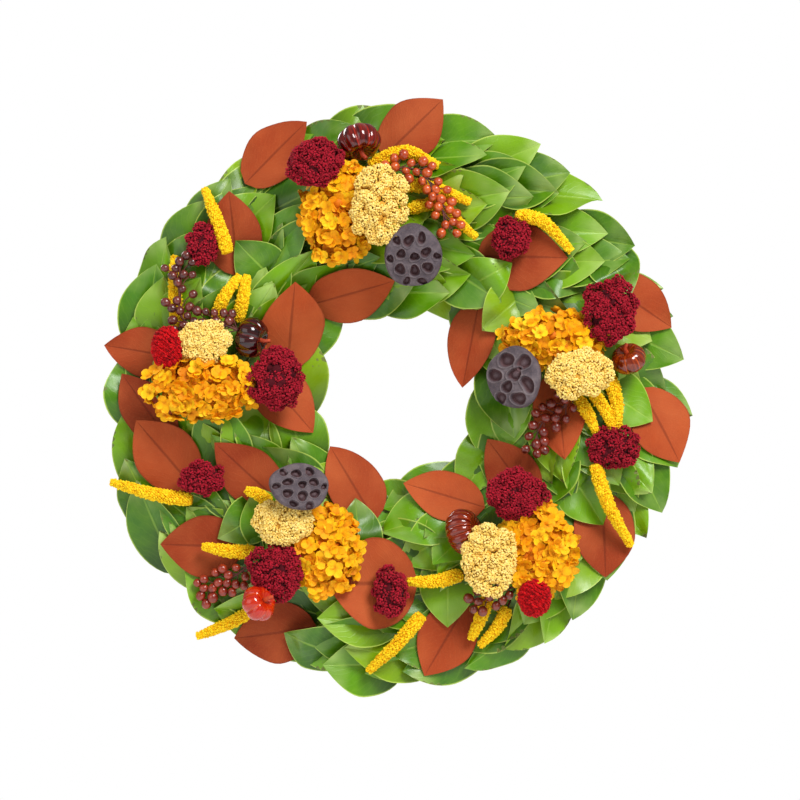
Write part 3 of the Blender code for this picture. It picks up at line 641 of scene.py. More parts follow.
def front_height(radius):
    """How far the foliage's front stands before the hang plane at a distance from the ring's centre."""
    outward = radius > MID_RADIUS
    span = TIP_RADIUS - MID_RADIUS if outward else MID_RADIUS - INNER_TIP_RADIUS
    share = min(1.0, abs(radius - MID_RADIUS) / span)
    return CROWN_FRONT + (TIP_FRONT - CROWN_FRONT) * share ** 2


def on_front(x, z, lift=0.0):
    """A world point over the foliage from millimetres right of and above the ring's centre."""
    radius = math.hypot(x, z) * MM
    return np.array([x * MM, -front_height(radius) - lift, CENTRE_Z + z * MM])


def head_facing(middle):
    """The way a head looks: to the front, tilted away from the ring's middle line."""
    radial = np.array([middle[0], 0.0, middle[2] - CENTRE_Z])
    radius = np.linalg.norm(radial)
    tilt = math.radians(40) * (radius - MID_RADIUS) / (TIP_RADIUS - MID_RADIUS)
    return unit(FRONT * math.cos(tilt) + radial / radius * math.sin(tilt))


def front_slope(place):
    """The way the foliage's front looks at a place."""
    radial = np.array([place[0], 0.0, place[2] - CENTRE_Z])
    radius = np.linalg.norm(radial)
    fall = (front_height(radius - 0.004) - front_height(radius + 0.004)) / 0.008
    return unit(FRONT + radial / radius * fall)


HEAD_KINDS = ("hydrangea", "yarrow", "crimson", "celosia", "lotus", "pumpkin")
HEAD_NODES = [n for n in frame["nodes"] if n.rsplit("_", 1)[-1] in HEAD_KINDS]
HEAD_SPACES = [head_space(n) for n in HEAD_NODES]


def under_head(point):
    """Whether a point lies well behind a head, seen from the front."""
    for middle, half in HEAD_SPACES:
        dx = (point[0] - middle[0]) / half[0]
        dz = (point[2] - middle[2]) / half[2]
        if dx * dx + dz * dz < 0.8:
            return True
    return False


cover = Cover()


def cover_heads():
    """Keeps the leaves behind the middle of each head."""
    share = np.linspace(-1, 1, 33)
    x, z = np.meshgrid(share, share)
    disc = stacked(x, np.full(x.shape, 0.30), z)
    disc = disc[disc[:, 0] ** 2 + disc[:, 2] ** 2 < 0.86]
    for middle, half in HEAD_SPACES:
        cover.put(middle + half * disc, Cover.STEP)


# ---------------------------------------------------------------- leaves

SECTIONS = 5
SECTION_START = math.radians(74)
GREEN = green_leaf_material()
GREEN_UNDER = green_under_material()
BROWN = brown_leaf_material()
foliage = [Shape() for _ in range(SECTIONS)]

LEAF_LENGTH = 0.090
LEAF_WIDTH = 0.058
LEAF_SPACING = 0.046
ROW_GAP = 0.0215
TIP_RISE = 0.010
BASE_SINK = 0.011
# A leaf swept along the ring bulges past its tip, so its tip is set in, and the rows stop short of the
# clear middle.
SWEPT_INSET = 0.021
INNER_ROW_MARGIN = 0.050


def sunk(base):
    """A leaf's base, set a little behind the foliage's front."""
    return np.array([base[0], BASE_SINK - front_height(ring_radius(base)), base[2]])


def section_of(angle):
    """Which fifth of the foliage an angle belongs to."""
    return int((SECTION_START - angle) % math.tau / (math.tau / SECTIONS)) % SECTIONS


def leaf_sweep(angle, radius):
    """How far leaves turn clockwise from straight out: nearly along the ring, but splayed at the right."""
    splay = 46 * max(0.0, math.cos(angle - 0.1)) ** 1.3
    outer_share = min(1.0, max(0.0, (radius - 0.15) / 0.09))
    return math.radians(68 + (4 - splay) * outer_share)


def green_row(row_radius):
    """One row of green leaves that lean clockwise and overlap like shingles."""
    count = round(math.tau * row_radius / LEAF_SPACING)
    turn = RNG.uniform(0, math.tau)
    for k in range(count):
        angle = turn + math.tau * (k + RNG.uniform(-0.25, 0.25)) / count
        lean = leaf_sweep(angle, row_radius) + math.radians(RNG.uniform(-14, 14))
        radius = row_radius - SWEPT_INSET * math.sin(lean) ** 2 + RNG.uniform(-0.006, 0.005)
        length = LEAF_LENGTH * RNG.uniform(0.88, 1.10)
        out = np.array([math.cos(angle), 0.0, math.sin(angle)])
        clockwise = np.array([math.sin(angle), 0.0, -math.cos(angle)])
        heading = out * math.cos(lean) + clockwise * math.sin(lean)
        tip = ring_point(radius, angle, -(front_height(radius) + TIP_RISE + RNG.uniform(-0.003, 0.004)))
        base = sunk(tip - heading * length)
        middle = (tip + base) / 2
        if under_head(tip) and under_head(middle):
            continue
        facing = turned(front_slope(middle), tip - base, RNG.uniform(-0.42, 0.42))
        add_leaf(foliage[section_of(angle)], base, tip, facing, LEAF_WIDTH * RNG.uniform(0.86, 1.14),
                 fold=RNG.uniform(0.30, 0.95), curl=RNG.uniform(-0.18, 0.22),
                 ripple=RNG.uniform(0.0006, 0.0026), top_slot=0, under_slot=1)


# Brown leaves: x, z of the middle and of the tip in millimetres from the ring's centre, and the width. The
# first twelve stand for the CAD's brown leaves in their order; the rest belong to the foliage.
BROWN_LEAVES = (
    ((12, 254), (44, 285), 62), ((124, 133), (161, 132), 64), ((236, 84), (262, 66), 56),
    ((252, -26), (272, -62), 64), ((198, -137), (200, -172), 64), ((46, -232), (26, -266), 56),
    ((-124, -227), (-156, -232), 60), ((-187, -142), (-226, -141), 60), ((-245, -3), (-263, 22), 52),
    ((-247, 44), (-280, 50), 50), ((-117, 234), (-87, 264), 62), ((-42, -84), (-64, -47), 64),
    ((-28, 103), (-2, 110), 58), ((69, 43), (62, 9), 52), ((156, -29), (159, -60), 52),
    ((102, -62), (86, -40), 52), ((29, -89), (6, -82), 46), ((-34, -177), (-66, -177), 84),
    ((-151, -64), (-172, -44), 52), ((-225, -50), (-248, -22), 62), ((-100, 80), (-97, 110), 64),
    ((-99, -12), (-80, -34), 56), ((-157, 166), (-160, 196), 56),
)
CAD_BROWN_LEAVES = 12
BROWN_LENGTH = 0.086
BROWN_FOOT_ROWS = 7
COVERED_MARGIN = 0.0035
LAP_RISE = 0.0045
LAP_CLEARANCE = 0.6 * LEAF_WIDTH
BLADE_MIDDLE = 0.3 * BROWN_LENGTH
brown_places = []
brown_lines = []


def brown_leaf(shape, middle, tip, width, slot):
    """One brown leaf lying over the green ones, its base tucked under them."""
    end = on_front(*tip, lift=0.013)
    heading = unit(end - on_front(*middle, lift=0.014))
    base = sunk(end - heading * BROWN_LENGTH)
    facing = turned(front_slope((base + end) / 2), heading, RNG.uniform(-0.15, 0.15))
    top = add_leaf(shape, base, end, facing, width * RNG.uniform(0.96, 1.06), fold=RNG.uniform(0.12, 0.34),
                   curl=RNG.uniform(-0.16, 0.10), ripple=RNG.uniform(0.001, 0.0030),
                   top_slot=slot, under_slot=slot)
    rows = top.reshape(LEAF_ROWS, LEAF_COLUMNS, 3)
    denser = [np.concatenate([part[:-1] * (1 - t) + part[1:] * t for t in (0.0, 0.5, 1.0)]).reshape(-1, 3)
              for part in (rows[BROWN_FOOT_ROWS:], rows[:BROWN_FOOT_ROWS + 1])]
    brown_places.append(denser)
    brown_lines.append((heading, rows[BROWN_FOOT_ROWS, LEAF_COLUMNS // 2]))


def lap_over_brown(heading, spot):
    """One green leaf from beside a brown leaf's foot, its tip over the brown blade and over no other."""
    if under_head(spot):
        return
    side = np.cross(heading, FRONT)
    across = RNG.choice([-1.0, 1.0])
    tip = spot + side * across * RNG.uniform(0.000, 0.008) + heading * RNG.uniform(-0.012, 0.000)
    tip[1] = spot[1] - LAP_RISE
    along = unit(heading * np.array([1, 0, 1]) - side * across * RNG.uniform(0.35, 0.9))
    foot = sunk(tip - along * LEAF_LENGTH * RNG.uniform(0.72, 0.90))
    if not INNER_TIP_RADIUS + 0.01 < ring_radius(foot) < TIP_RADIUS - 0.02:
        return
    middle = (foot + tip) / 2
    for other_heading, other_spot in brown_lines:
        apart = middle - (other_spot + other_heading * BLADE_MIDDLE)
        if other_spot is not spot and math.hypot(apart[0], apart[2]) < LAP_CLEARANCE:
            return
    facing = turned(front_slope(middle), tip - foot, RNG.uniform(-0.2, 0.2))
    angle = math.atan2(foot[2] - CENTRE_Z, foot[0])
    add_leaf(foliage[section_of(angle)], foot, tip, facing, LEAF_WIDTH * RNG.uniform(0.80, 0.98),
             fold=RNG.uniform(0.20, 0.45), curl=RNG.uniform(-0.05, 0.05),
             ripple=RNG.uniform(0.0006, 0.0016), top_slot=0, under_slot=1, over_brown=True)


def build_leaves():
    """Brown leaves lie under the heads and spikes, and nearly all green leaves under all of these."""
    cover.spread()
    cover.pieces = cover.whole.copy()
    for k, (middle, tip, width) in enumerate(BROWN_LEAVES):
        if k < CAD_BROWN_LEAVES:
            shape = Shape()
            brown_leaf(shape, middle, tip, width * MM, 0)
            name = f"brown_leaf_{k + 1:02d}"
            shape.build(f"{name}_look", [BROWN], [name], "leaf_brown")
        else:
            angle = math.atan2(middle[1], middle[0])
            brown_leaf(foliage[section_of(angle)], middle, tip, width * MM, 2)
    for blade, foot in brown_places:
        cover.put(blade, COVERED_MARGIN)
        cover.put(foot, COVERED_MARGIN, seen=False)
    cover.spread()
    row_radius = TIP_RADIUS
    while row_radius > INNER_TIP_RADIUS + INNER_ROW_MARGIN:
        green_row(row_radius)
        row_radius -= ROW_GAP
    for line in brown_lines:
        lap_over_brown(*line)
    for k, shape in enumerate(foliage, 1):
        shape.build(f"leaves_{k}", [GREEN, GREEN_UNDER, BROWN], [f"foliage_{k}"], "leaf_green")


# ---------------------------------------------------------------- flower heads

PETAL = petal_material()
YARROW = grain_material("yarrow", ((0.0, (208, 154, 54)), (0.25, (238, 196, 88)), (0.60, (248, 213, 110)),
                                   (1.0, (255, 229, 142))), (234, 190, 90), 900.0)
CRIMSON = grain_material("crimson_velvet", ((0.0, (72, 2, 14)), (0.35, (126, 6, 24)), (1.0, (172, 18, 42))),
                         (98, 2, 18), 900.0, sheen=0.04)
CELOSIA = grain_material("celosia_plush", ((0.0, (110, 0, 6)), (0.5, (194, 2, 14)), (1.0, (226, 18, 26))),
                         (130, 0, 8), 1400.0, sheen=0.04)
SPIKE = grain_material("spike_grain", ((0.0, (222, 152, 4)), (0.25, (246, 192, 10)), (1.0, (255, 222, 36))),
                       (232, 166, 6), 1000.0)


PETAL_ROWS, PETAL_COLUMNS = 6, 5
FLORET_SIZE = 0.0084


def petal_grid(size):
    """A rounded, cupped petal: local x across, y outward and z up."""
    t, v = crossed(np.linspace(0.02, 1, PETAL_ROWS), np.linspace(-1, 1, PETAL_COLUMNS))
    u = (1 - np.cos(math.pi * t)) / 2
    half = 0.47 * size * np.sin(math.pi * t * 0.999) ** 0.8
    phase = RNG.uniform(0, math.tau)
    lift = 0.14 * u ** 2 + 0.12 * v ** 2 * u + 0.06 * np.sin(3 * u + 2.5 * v + phase)
    return stacked(half * v, size * u, size * lift), stacked(u, v / 2 + 0.5)


def add_floret(shape, place, normal, size, tint):
    """Four petals round a point."""
    spin = RNG.uniform(0, math.tau)
    start = unit(np.cross(normal, np.array([0.31, 0.17, 0.93])))
    faces = grid_faces(PETAL_ROWS, PETAL_COLUMNS)
    for k in range(4):
        along = turned(start, normal, spin + k * math.pi / 2 + RNG.uniform(-0.15, 0.15))
        along = unit(along + normal * RNG.uniform(-0.10, 0.25))
        points, uvs = petal_grid(size * RNG.uniform(0.88, 1.12))
        shape.add(place + points @ facing_frame(along, normal), faces, uvs, tint)


def add_painted_shade_core(shape, middle, half):
    """A lumpy middle at the darkest tint: painted shade that fills the gaps between florets."""
    directions = sphere_directions(80)
    # Tint zero, the darkest colour, is painted shade deep inside the head.
    add_grains(shape, middle + directions * half * 0.60, directions, half.min() * 0.34, 1.0,
               np.zeros(len(directions)))


def loose_directions(count, spread):
    """Directions over a whole sphere, spread evenly and then shaken."""
    return unit(sphere_directions(count, RNG.uniform(0, math.tau)) + RNG.normal(0, spread, (count, 3)))


def lumps(directions, depth):
    """How far a head's outline swells and sinks in each direction."""
    wave = np.zeros(len(directions))
    for _ in range(4):
        way = unit(RNG.normal(0, 1, 3)) * RNG.uniform(5, 9)
        wave = wave + np.sin(directions @ way + RNG.uniform(0, 6))
    return 1 + depth * wave / 2


# Each layer of florets: its share of the head's size, the number of florets, their darkest tint, set lower
# in the deeper layers as painted shade inside the head, and how far they are shaken from even places.
FLORET_LAYERS = ((0.66, 60, 0.0, 0.1), (0.82, 85, 0.10, 0.12), (0.98, 125, 0.38, 0.14))


def hydrangea(node):
    """A mophead of four-petalled florets in three layers."""
    middle, half = head_space(node)
    facing = head_facing(middle)
    shape = Shape()
    add_painted_shade_core(shape, middle, half)
    for layer, count, shaded_low_tint, shake in FLORET_LAYERS:
        directions = loose_directions(count, shake)
        for direction, swell in zip(directions, lumps(directions, 0.09)):
            if np.dot(direction, facing) < -0.25:
                continue
            place = middle + direction * half * layer * swell
            normal = unit(unit(direction / half) + 0.45 * facing + RNG.normal(0, 0.40, 3))
            add_floret(shape, place, normal, FLORET_SIZE * RNG.uniform(0.85, 1.15),
                       np.clip(shaded_low_tint + RNG.uniform(0, 0.64), 0, 1))
    shape.build(f"{node}_florets", [PETAL], [node], "hydrangea_gold")


def cluster_head(shape, middle, half, clusters, cluster_radius, grain, packing, uneven):
    """A head of rounded knots, each packed with small grains."""
    facing = head_facing(middle)
    add_painted_shade_core(shape, middle, half)
    directions = loose_directions(clusters, 0.10)
    for direction, swell in zip(directions, lumps(directions, uneven)):
        if np.dot(direction, facing) < -0.35:
            continue
        radius = cluster_radius * RNG.uniform(0.75, 1.25)
        knot = middle + direction * (half - cluster_radius * 0.75) * swell * RNG.uniform(0.94, 1.04)
        normal = unit(direction / half)
        grains = loose_directions(int(packing * (radius / grain) ** 2), 0.16)
        grains = grains[grains @ normal > -0.30]
        reach = RNG.uniform(0.86, 1.12, (len(grains), 1))
        # Grains that face into the clefts between knots get lower tints: painted shade.
        tints = np.clip(0.42 + 0.38 * (grains @ normal) + RNG.uniform(-0.26, 0.30, len(grains)), 0, 1)
        add_grains(shape, knot + grains * radius * reach, grains, grain, 1.1, tints)


FULLER = np.array([1.07, 1.0, 1.07])


def yarrow(node):
    """A yarrow head of tiny buttons."""
    middle, half = head_space(node)
    shape = Shape()
    cluster_head(shape, middle, half * FULLER, clusters=95, cluster_radius=0.0052, grain=0.00100,
                 packing=5.0, uneven=0.12)
    shape.build(f"{node}_buttons", [YARROW], [node], "yarrow_yellow")


def crimson(node):
    """A velvety crimson head with deep clefts between its knots."""
    middle, half = head_space(node)
    shape = Shape()
    cluster_head(shape, middle, half * FULLER, clusters=130, cluster_radius=0.0045, grain=0.00108,
                 packing=3.4, uneven=0.14)
    shape.build(f"{node}_velvet", [CRIMSON], [node], "crimson")


def celosia(node):
    """A plush red plume."""
    middle, half = head_space(node)
    shape = Shape()
    add_painted_shade_core(shape, middle, half * 0.9)
    directions = sphere_directions(1500)
    uneven = 1 + 0.07 * np.sin(directions @ np.array([7.0, 5.0, 9.0]) * 2)
    places = middle + directions * half * uneven[:, None]
    tints = np.clip(0.5 + RNG.uniform(-0.4, 0.4, len(places)), 0, 1)
    add_grains(shape, places, directions / half, 0.00095, 2.2, tints)
    shape.build(f"{node}_plush", [CELOSIA], [node], "celosia_red")


# ---------------------------------------------------------------- spikes and picks

# The route of each spike of a bouquet, in millimetres from the ring's centre, as the CAD's.
SPRIGS = {
    "top": (((-27, 220), (7, 233), (38, 220)), ((-3, 202), (34, 198), (68, 185)),
            ((10, 178), (38, 181), (74, 152))),
    "right": (((169, 0), (180, -14), (188, -32)), ((184, 7), (197, -12), (207, -36)),
              ((201, 21), (208, -4), (209, -32))),
    "lower_right": (((62, -168), (38, -174), (12, -175)), ((86, -188), (80, -208), (71, -229)),
                    ((105, -200), (96, -218), (80, -236))),
    "lower_left": (((-134, -147), (-158, -146), (-183, -142)),
                   ((-121, -100), (-130, -93), (-142, -88)), ((-141, -206), (-164, -218), (-190, -229))),
    "left": (((-208, 66), (-211, 98), (-212, 133)), ((-172, 74), (-164, 94), (-150, 114)),
             ((-152, 72), (-146, 92), (-142, 114))),
}
PICK_HALF_DEPTH = 12
# Each pick's small head, as x, z and half sizes in millimetres, and then the route of its spike.
PICKS = {
    "upper_left": ((-184, 144, 14, 18), ((-160, 136), (-170, 166), (-183, 197))),
    "upper_right": ((108, 151, 16, 18), ((112, 172), (138, 166), (164, 139))),
    "right": ((205, -48, 23, 18), ((187, -63), (200, -102), (222, -140))),
    "bottom": ((-6, -185, 15, 22), ((24, -206), (0, -234), (-26, -260))),
    "left": ((-184, -77, 19, 14), ((-194, -98), (-232, -92), (-272, -82))),
}
SPIKE_RADIUS = 0.0060
SPIKE_LIFT = 0.010
SPIKE_RING_GAP = 0.0013
SPIKE_GRAIN = 0.00115
GRAINS_ROUND = 15
RING_TURN = 0.27
TWIG = twig_material()


def add_spike(shape, path, radius):
    """A fuzzy tapering spike: short rings of grains set round a path."""
    length = np.linalg.norm(np.diff(path, axis=0), axis=1).sum()
    steps = int(length / SPIKE_RING_GAP)
    path = smooth_path(path, steps)
    along, side, up = path_frames(path)
    share = np.linspace(0, 1, steps)
    body = radius * np.minimum(1.0, 0.78 + 2.2 * share) * (1 - 0.55 * share ** 2.6)
    angle = math.tau * np.arange(GRAINS_ROUND) / GRAINS_ROUND + (np.arange(steps) * RING_TURN)[:, None]
    normals = np.cos(angle)[..., None] * side[:, None] + np.sin(angle)[..., None] * up[:, None]
    normals = normals + 0.35 * along[:, None]
    reach = body[:, None, None] * RNG.uniform(0.86, 1.08, (steps, GRAINS_ROUND, 1))
    places = path[:, None] + normals * reach + RNG.normal(0, 0.0003, (steps, GRAINS_ROUND, 3))
    tints = RNG.uniform(0.0, 1.0, steps * GRAINS_ROUND) ** 0.7
    add_grains(shape, places.reshape(-1, 3), normals.reshape(-1, 3), SPIKE_GRAIN, 1.4, tints)
    # The core tube under the grains has a low tint: painted shade in the gaps between grains.
    add_tube(shape, path, body * 0.93, 10, 0.1)
    cover.put(path + np.array([0, radius * 0.5, 0]), radius)


def add_stem(shape, path):
    """The bare foot of a spike, which dives between the leaves."""
    along = unit(path[1] - path[0])
    hidden_end = path[0] - along * 0.012 - FRONT * 0.010
    stem = np.array([hidden_end, path[0] - along * 0.003, path[0] + along * 0.006])
    add_tube(shape, smooth_path(stem, 8), 0.0011, 7, 0.5, 1)


def seated_shift(node, stops):
    """How far the CAD piece was set back or forward from the route's nominal place over the foliage."""
    nearest = min(on_front(x, z, SPIKE_LIFT)[1] for x, z in stops)
    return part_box(node)[0][1] + SPIKE_RADIUS - nearest


def sprig(name):
    """The three spikes of one bouquet."""
    stems = SPRIGS[name]
    node = f"{name}_spikes"
    shift = np.array([0.0, max(0.0, seated_shift(node, [p for stem in stems for p in stem])), 0.0])
    shape = Shape()
    for stops in stems:
        lifts = (SPIKE_LIFT * 0.6, SPIKE_LIFT * 1.2, SPIKE_LIFT)
        path = np.array([on_front(x, z, lift) for (x, z), lift in zip(stops, lifts)]) + shift
        add_spike(shape, path, SPIKE_RADIUS * RNG.uniform(0.82, 0.98))
        add_stem(shape, path)
    shape.build(f"{node}_grains", [SPIKE, TWIG], [node], "spike_yellow")


def pick(name):
    """A small crimson head and its long spike."""
    (x, z, half_x, half_z), stops = PICKS[name]
    node = f"pick_{name}"
    half = np.array([half_x, PICK_HALF_DEPTH, half_z]) * MM
    middle = on_front(x, z, PICK_HALF_DEPTH * MM)
    HEAD_SPACES.append((middle, half))
    head = Shape()
    cluster_head(head, middle, half * 1.08, clusters=60, cluster_radius=0.0042, grain=0.00108,
                 packing=3.4, uneven=0.12)
    head.build(f"{node}_velvet", [CRIMSON], [node], "crimson")
    spike = Shape()
    path = np.array([on_front(px, pz, lift) for (px, pz), lift in zip(stops, (0.010, 0.016, 0.013))])
    add_spike(spike, path, SPIKE_RADIUS * 0.94)
    spike.build(f"{node}_spike", [SPIKE], [node], "spike_yellow")


# ---------------------------------------------------------------- pods, fruits and berries

LOTUS = lotus_material()
# Pits of each pod: x and y as shares of its half sizes, and the pit's radius as a share of its width.
FEW_PITS = ((-0.24, 0.57, 0.28), (0.40, 0.50, 0.27), (-0.64, 0.05, 0.25), (0.10, 0.10, 0.25),
            (-0.18, -0.30, 0.22), (0.58, -0.20, 0.27), (-0.44, -0.68, 0.22), (0.22, -0.66, 0.25))
MANY_PITS = ((0.05, 0.02, 0.16), (-0.42, 0.10, 0.17), (0.44, 0.16, 0.18), (-0.16, 0.50, 0.19),
             (0.06, -0.45, 0.20), (-0.44, -0.38, 0.19), (0.50, -0.32, 0.19), (0.30, 0.60, 0.18),
             (-0.58, 0.52, 0.16), (-0.80, -0.08, 0.14), (0.82, 0.02, 0.13), (-0.22, -0.80, 0.15),
             (0.32, -0.80, 0.16))
PITS = {"top_lotus": MANY_PITS, "right_lotus": FEW_PITS, "lower_left_lotus": MANY_PITS}


def uneven_round(angle, turn):
    """How far a pod's rim swells at each angle."""
    return 1 + 0.025 * np.sin(3 * angle + turn) + 0.015 * np.sin(5 * angle)


def pitted_face(pits, r, angle):
    """Heights and tints of a pod's face: a low dome, sunk pits with raised rims, and a seed in each pit."""
    x, y = r * np.cos(angle), r * np.sin(angle)
    rise = 0.0035 * (1 - r ** 2) - 0.0022 * np.clip((r - 0.93) / 0.07, 0, 1) ** 2
    tint = np.full(r.shape, 0.55)
    for middle_x, middle_y, size in pits:
        lean = RNG.uniform(0, math.pi)
        dx = (x - middle_x) * math.cos(lean) + (y - middle_y) * math.sin(lean)
        dy = (y - middle_y) * math.cos(lean) - (x - middle_x) * math.sin(lean)
        bearing = np.arctan2(dy, dx)
        uneven = (1 + 0.08 * np.sin(2 * bearing + RNG.uniform(0, 6))
                  + 0.06 * np.sin(3 * bearing + RNG.uniform(0, 6)))
        away = np.hypot(dx * 0.92, dy * 1.12) / (size * uneven)
        pit = np.clip((1.0 - away) / 0.22, 0, 1)
        pit = pit * pit * (3 - 2 * pit)
        rim = np.exp(-((away - 1.08) / 0.09) ** 2)
        seed = np.clip(1 - (away / 0.66) ** 2, 0, 1)
        rise = rise - 0.0052 * pit + 0.0012 * rim + 0.0018 * seed
        tint = tint * (1 - pit) + (0.14 + 0.24 * seed) * pit + 0.42 * rim * (1 - pit)
    return rise, tint


FACE_RINGS, SIDE_RINGS, POD_AROUND = 60, 18, 160


def lotus(node):
    """A lotus pod: a flat pitted face over a furrowed cone."""
    middle, half = head_space(node)
    facing = head_facing(middle)
    axes = facing_frame(np.cross(facing, np.array([1.0, 0, 0])), facing)
    r, angle = round_grid(0.001, 1, FACE_RINGS, POD_AROUND)
    rise, tint = pitted_face(PITS[node], r, angle)
    turn = RNG.uniform(0, math.tau)
    wide, tall = half[0] * 1.04, half[2] * 1.04
    top = middle + facing * half[1] * 0.55
    reach = r * uneven_round(angle, turn)
    shape = Shape()
    shape.add(top + stacked(wide * reach * np.cos(angle), tall * reach * np.sin(angle), rise) @ axes,
              grid_faces(FACE_RINGS, POD_AROUND, wrap=True), stacked(angle / math.tau, r), tint.ravel())
    down, angle = round_grid(0, 1, SIDE_RINGS, POD_AROUND)
    reach = 1 + 0.03 * np.sin(math.pi * np.minimum(1, down * 5)) - 0.78 * down ** 1.35
    reach = reach * uneven_round(angle, turn) * (1 + 0.02 * np.cos(22 * angle) * down)
    depth = -0.0022 - down * half[1] * 1.3
    local = stacked(wide * reach * np.cos(angle), tall * reach * np.sin(angle), depth)
    shape.add(top + local @ axes, grid_faces(SIDE_RINGS, POD_AROUND, wrap=True),
              stacked(angle / math.tau, down), 0.45)
    shape.build(f"{node}_pod", [LOTUS], [node], "lotus_grey")


CALYX = calyx_material()
CALYX_ROWS, CALYX_COLUMNS = 7, 5
# Each fruit's axis, from its base to its stem, its dark and warm skin colours, ribs and how deep they are.
PUMPKINS = {
    "top": ((0.25, -0.45, -0.86), (50, 2, 4), (178, 34, 8), 9, 0.16),
    "right": ((-0.30, -0.60, 0.74), (92, 18, 4), (184, 74, 14), 8, 0.05),
    "lower_right": ((0.85, -0.40, 0.30), (84, 8, 4), (186, 66, 18), 14, 0.14),
    "lower_left": ((0.70, -0.60, 0.42), (176, 20, 4), (218, 72, 14), 6, 0.20),
    "left": ((0.90, -0.35, -0.23), (24, 2, 4), (92, 12, 10), 7, 0.16),
}


def fruit(node):
    """A ribbed, polished mini pumpkin with a star-shaped calyx and a short woody stem."""
    name = node[: -len("_pumpkin")]
    axis, dark, warm, ribs, depth = PUMPKINS[name]
    middle, half = head_space(node)
    width = (half[0] + half[2]) / 2 * 1.04
    height = width * 0.74
    middle = middle + FRONT * (half[1] - height) * 0.2
    axes = facing_frame(np.cross(unit(axis), np.array([0.9, 0.1, 0.2])), unit(axis))
    rows, around = 44, ribs * 16
    polar, angle = round_grid(0.0005, math.pi - 0.0005, rows, around)
    rib = np.abs(np.cos(ribs / 2 * angle)) ** 0.55
    groove = 1 - depth * (1 - rib) * np.sin(polar) ** 0.6
    dimple = 1 - 0.42 * np.exp(-(polar / 0.42) ** 2) - 0.30 * np.exp(-((math.pi - polar) / 0.40) ** 2)
    r = width * np.sin(polar) ** 0.86 * groove
    z = height * np.cos(polar) * dimple
    local = stacked(r * np.cos(angle), r * np.sin(angle), z)
    shape = Shape()
    uvs = stacked(polar / math.pi, angle / math.tau)
    shape.add(middle + local @ axes, grid_faces(rows, around, wrap=True), uvs, rib.ravel())
    top = middle + axes[2] * height * 0.60
    for k in range(5):
        turn = math.tau * k / 5
        along = axes[0] * math.cos(turn) + axes[1] * math.sin(turn)
        points, uvs = leaf_blade(width * 0.62, width * 0.42, fold=0.2, curl=0.9, ripple=0.0004,
                                 rows=CALYX_ROWS, columns=CALYX_COLUMNS)
        shape.add(top + points @ facing_frame(along - axes[2] * 0.05, axes[2]),
                  grid_faces(CALYX_ROWS, CALYX_COLUMNS), uvs, 0.5, 1)
    stem = np.array([top, top + axes[2] * 0.005, top + axes[2] * 0.010 + axes[0] * 0.0025])
    add_tube(shape, smooth_path(stem, 7), np.linspace(0.0024, 0.0018, 7), 9, 0.5, 1)
    skin = pumpkin_material(f"{name}_pumpkin_skin", dark, warm)
    shape.build(f"{node}_fruit", [skin, CALYX], [node], "pumpkin_glossy")


# Berry sprays: the route of the main twig in millimetres from the ring's centre, the berries on it, their
# radius, how far they spread to each side, how much they crowd at its foot, and their colours.
SPRAYS = {
    "top": (((-8, 198), (2, 216), (28, 206), (50, 158)),
            30, 0.0044, 0.012, 0.7, (150, 42, 6), (216, 98, 36)),
    "right": (((170, 8), (154, -14), (138, -24), (129, -46)),
              34, 0.0045, 0.012, 1.0, (74, 14, 8), (142, 46, 26)),
    "lower_right": (((112, -178), (98, -184), (76, -194)),
                    22, 0.0044, 0.011, 1.0, (76, 18, 10), (150, 56, 32)),
    "lower_left": (((-140, -160), (-158, -172), (-184, -184)),
                   24, 0.0046, 0.013, 1.0, (104, 20, 10), (172, 58, 28)),
    "left": (((-148, 62), (-170, 70), (-202, 74), (-206, 128)),
             36, 0.0042, 0.014, 2.2, (52, 14, 12), (122, 50, 40)),
}
BERRY_GAP = 1.75
TWIG_RADIUS, TWIG_TIP_RADIUS, STALK_RADIUS = 0.0013, 0.0007, 0.00055


def add_berry(shape, place, out, radius):
    """One round berry with a small dark crown at its far end."""
    rows, around = 11, 16
    polar, angle = round_grid(0.001, math.pi - 0.001, rows, around)
    r = radius * np.sin(polar)
    z = radius * 1.12 * np.cos(polar) - radius * 0.16 * np.exp(-(polar / 0.35) ** 2)
    axes = facing_frame(np.cross(out, np.array([0.37, 0.21, 0.9])), out)
    local = stacked(r * np.cos(angle), r * np.sin(angle), z)
    tint = np.where(polar < 0.30, 0.0, 0.6).ravel()
    uvs = stacked(polar / math.pi, angle / math.tau)
    shape.add(place + local @ axes, grid_faces(rows, around, wrap=True), uvs, tint)


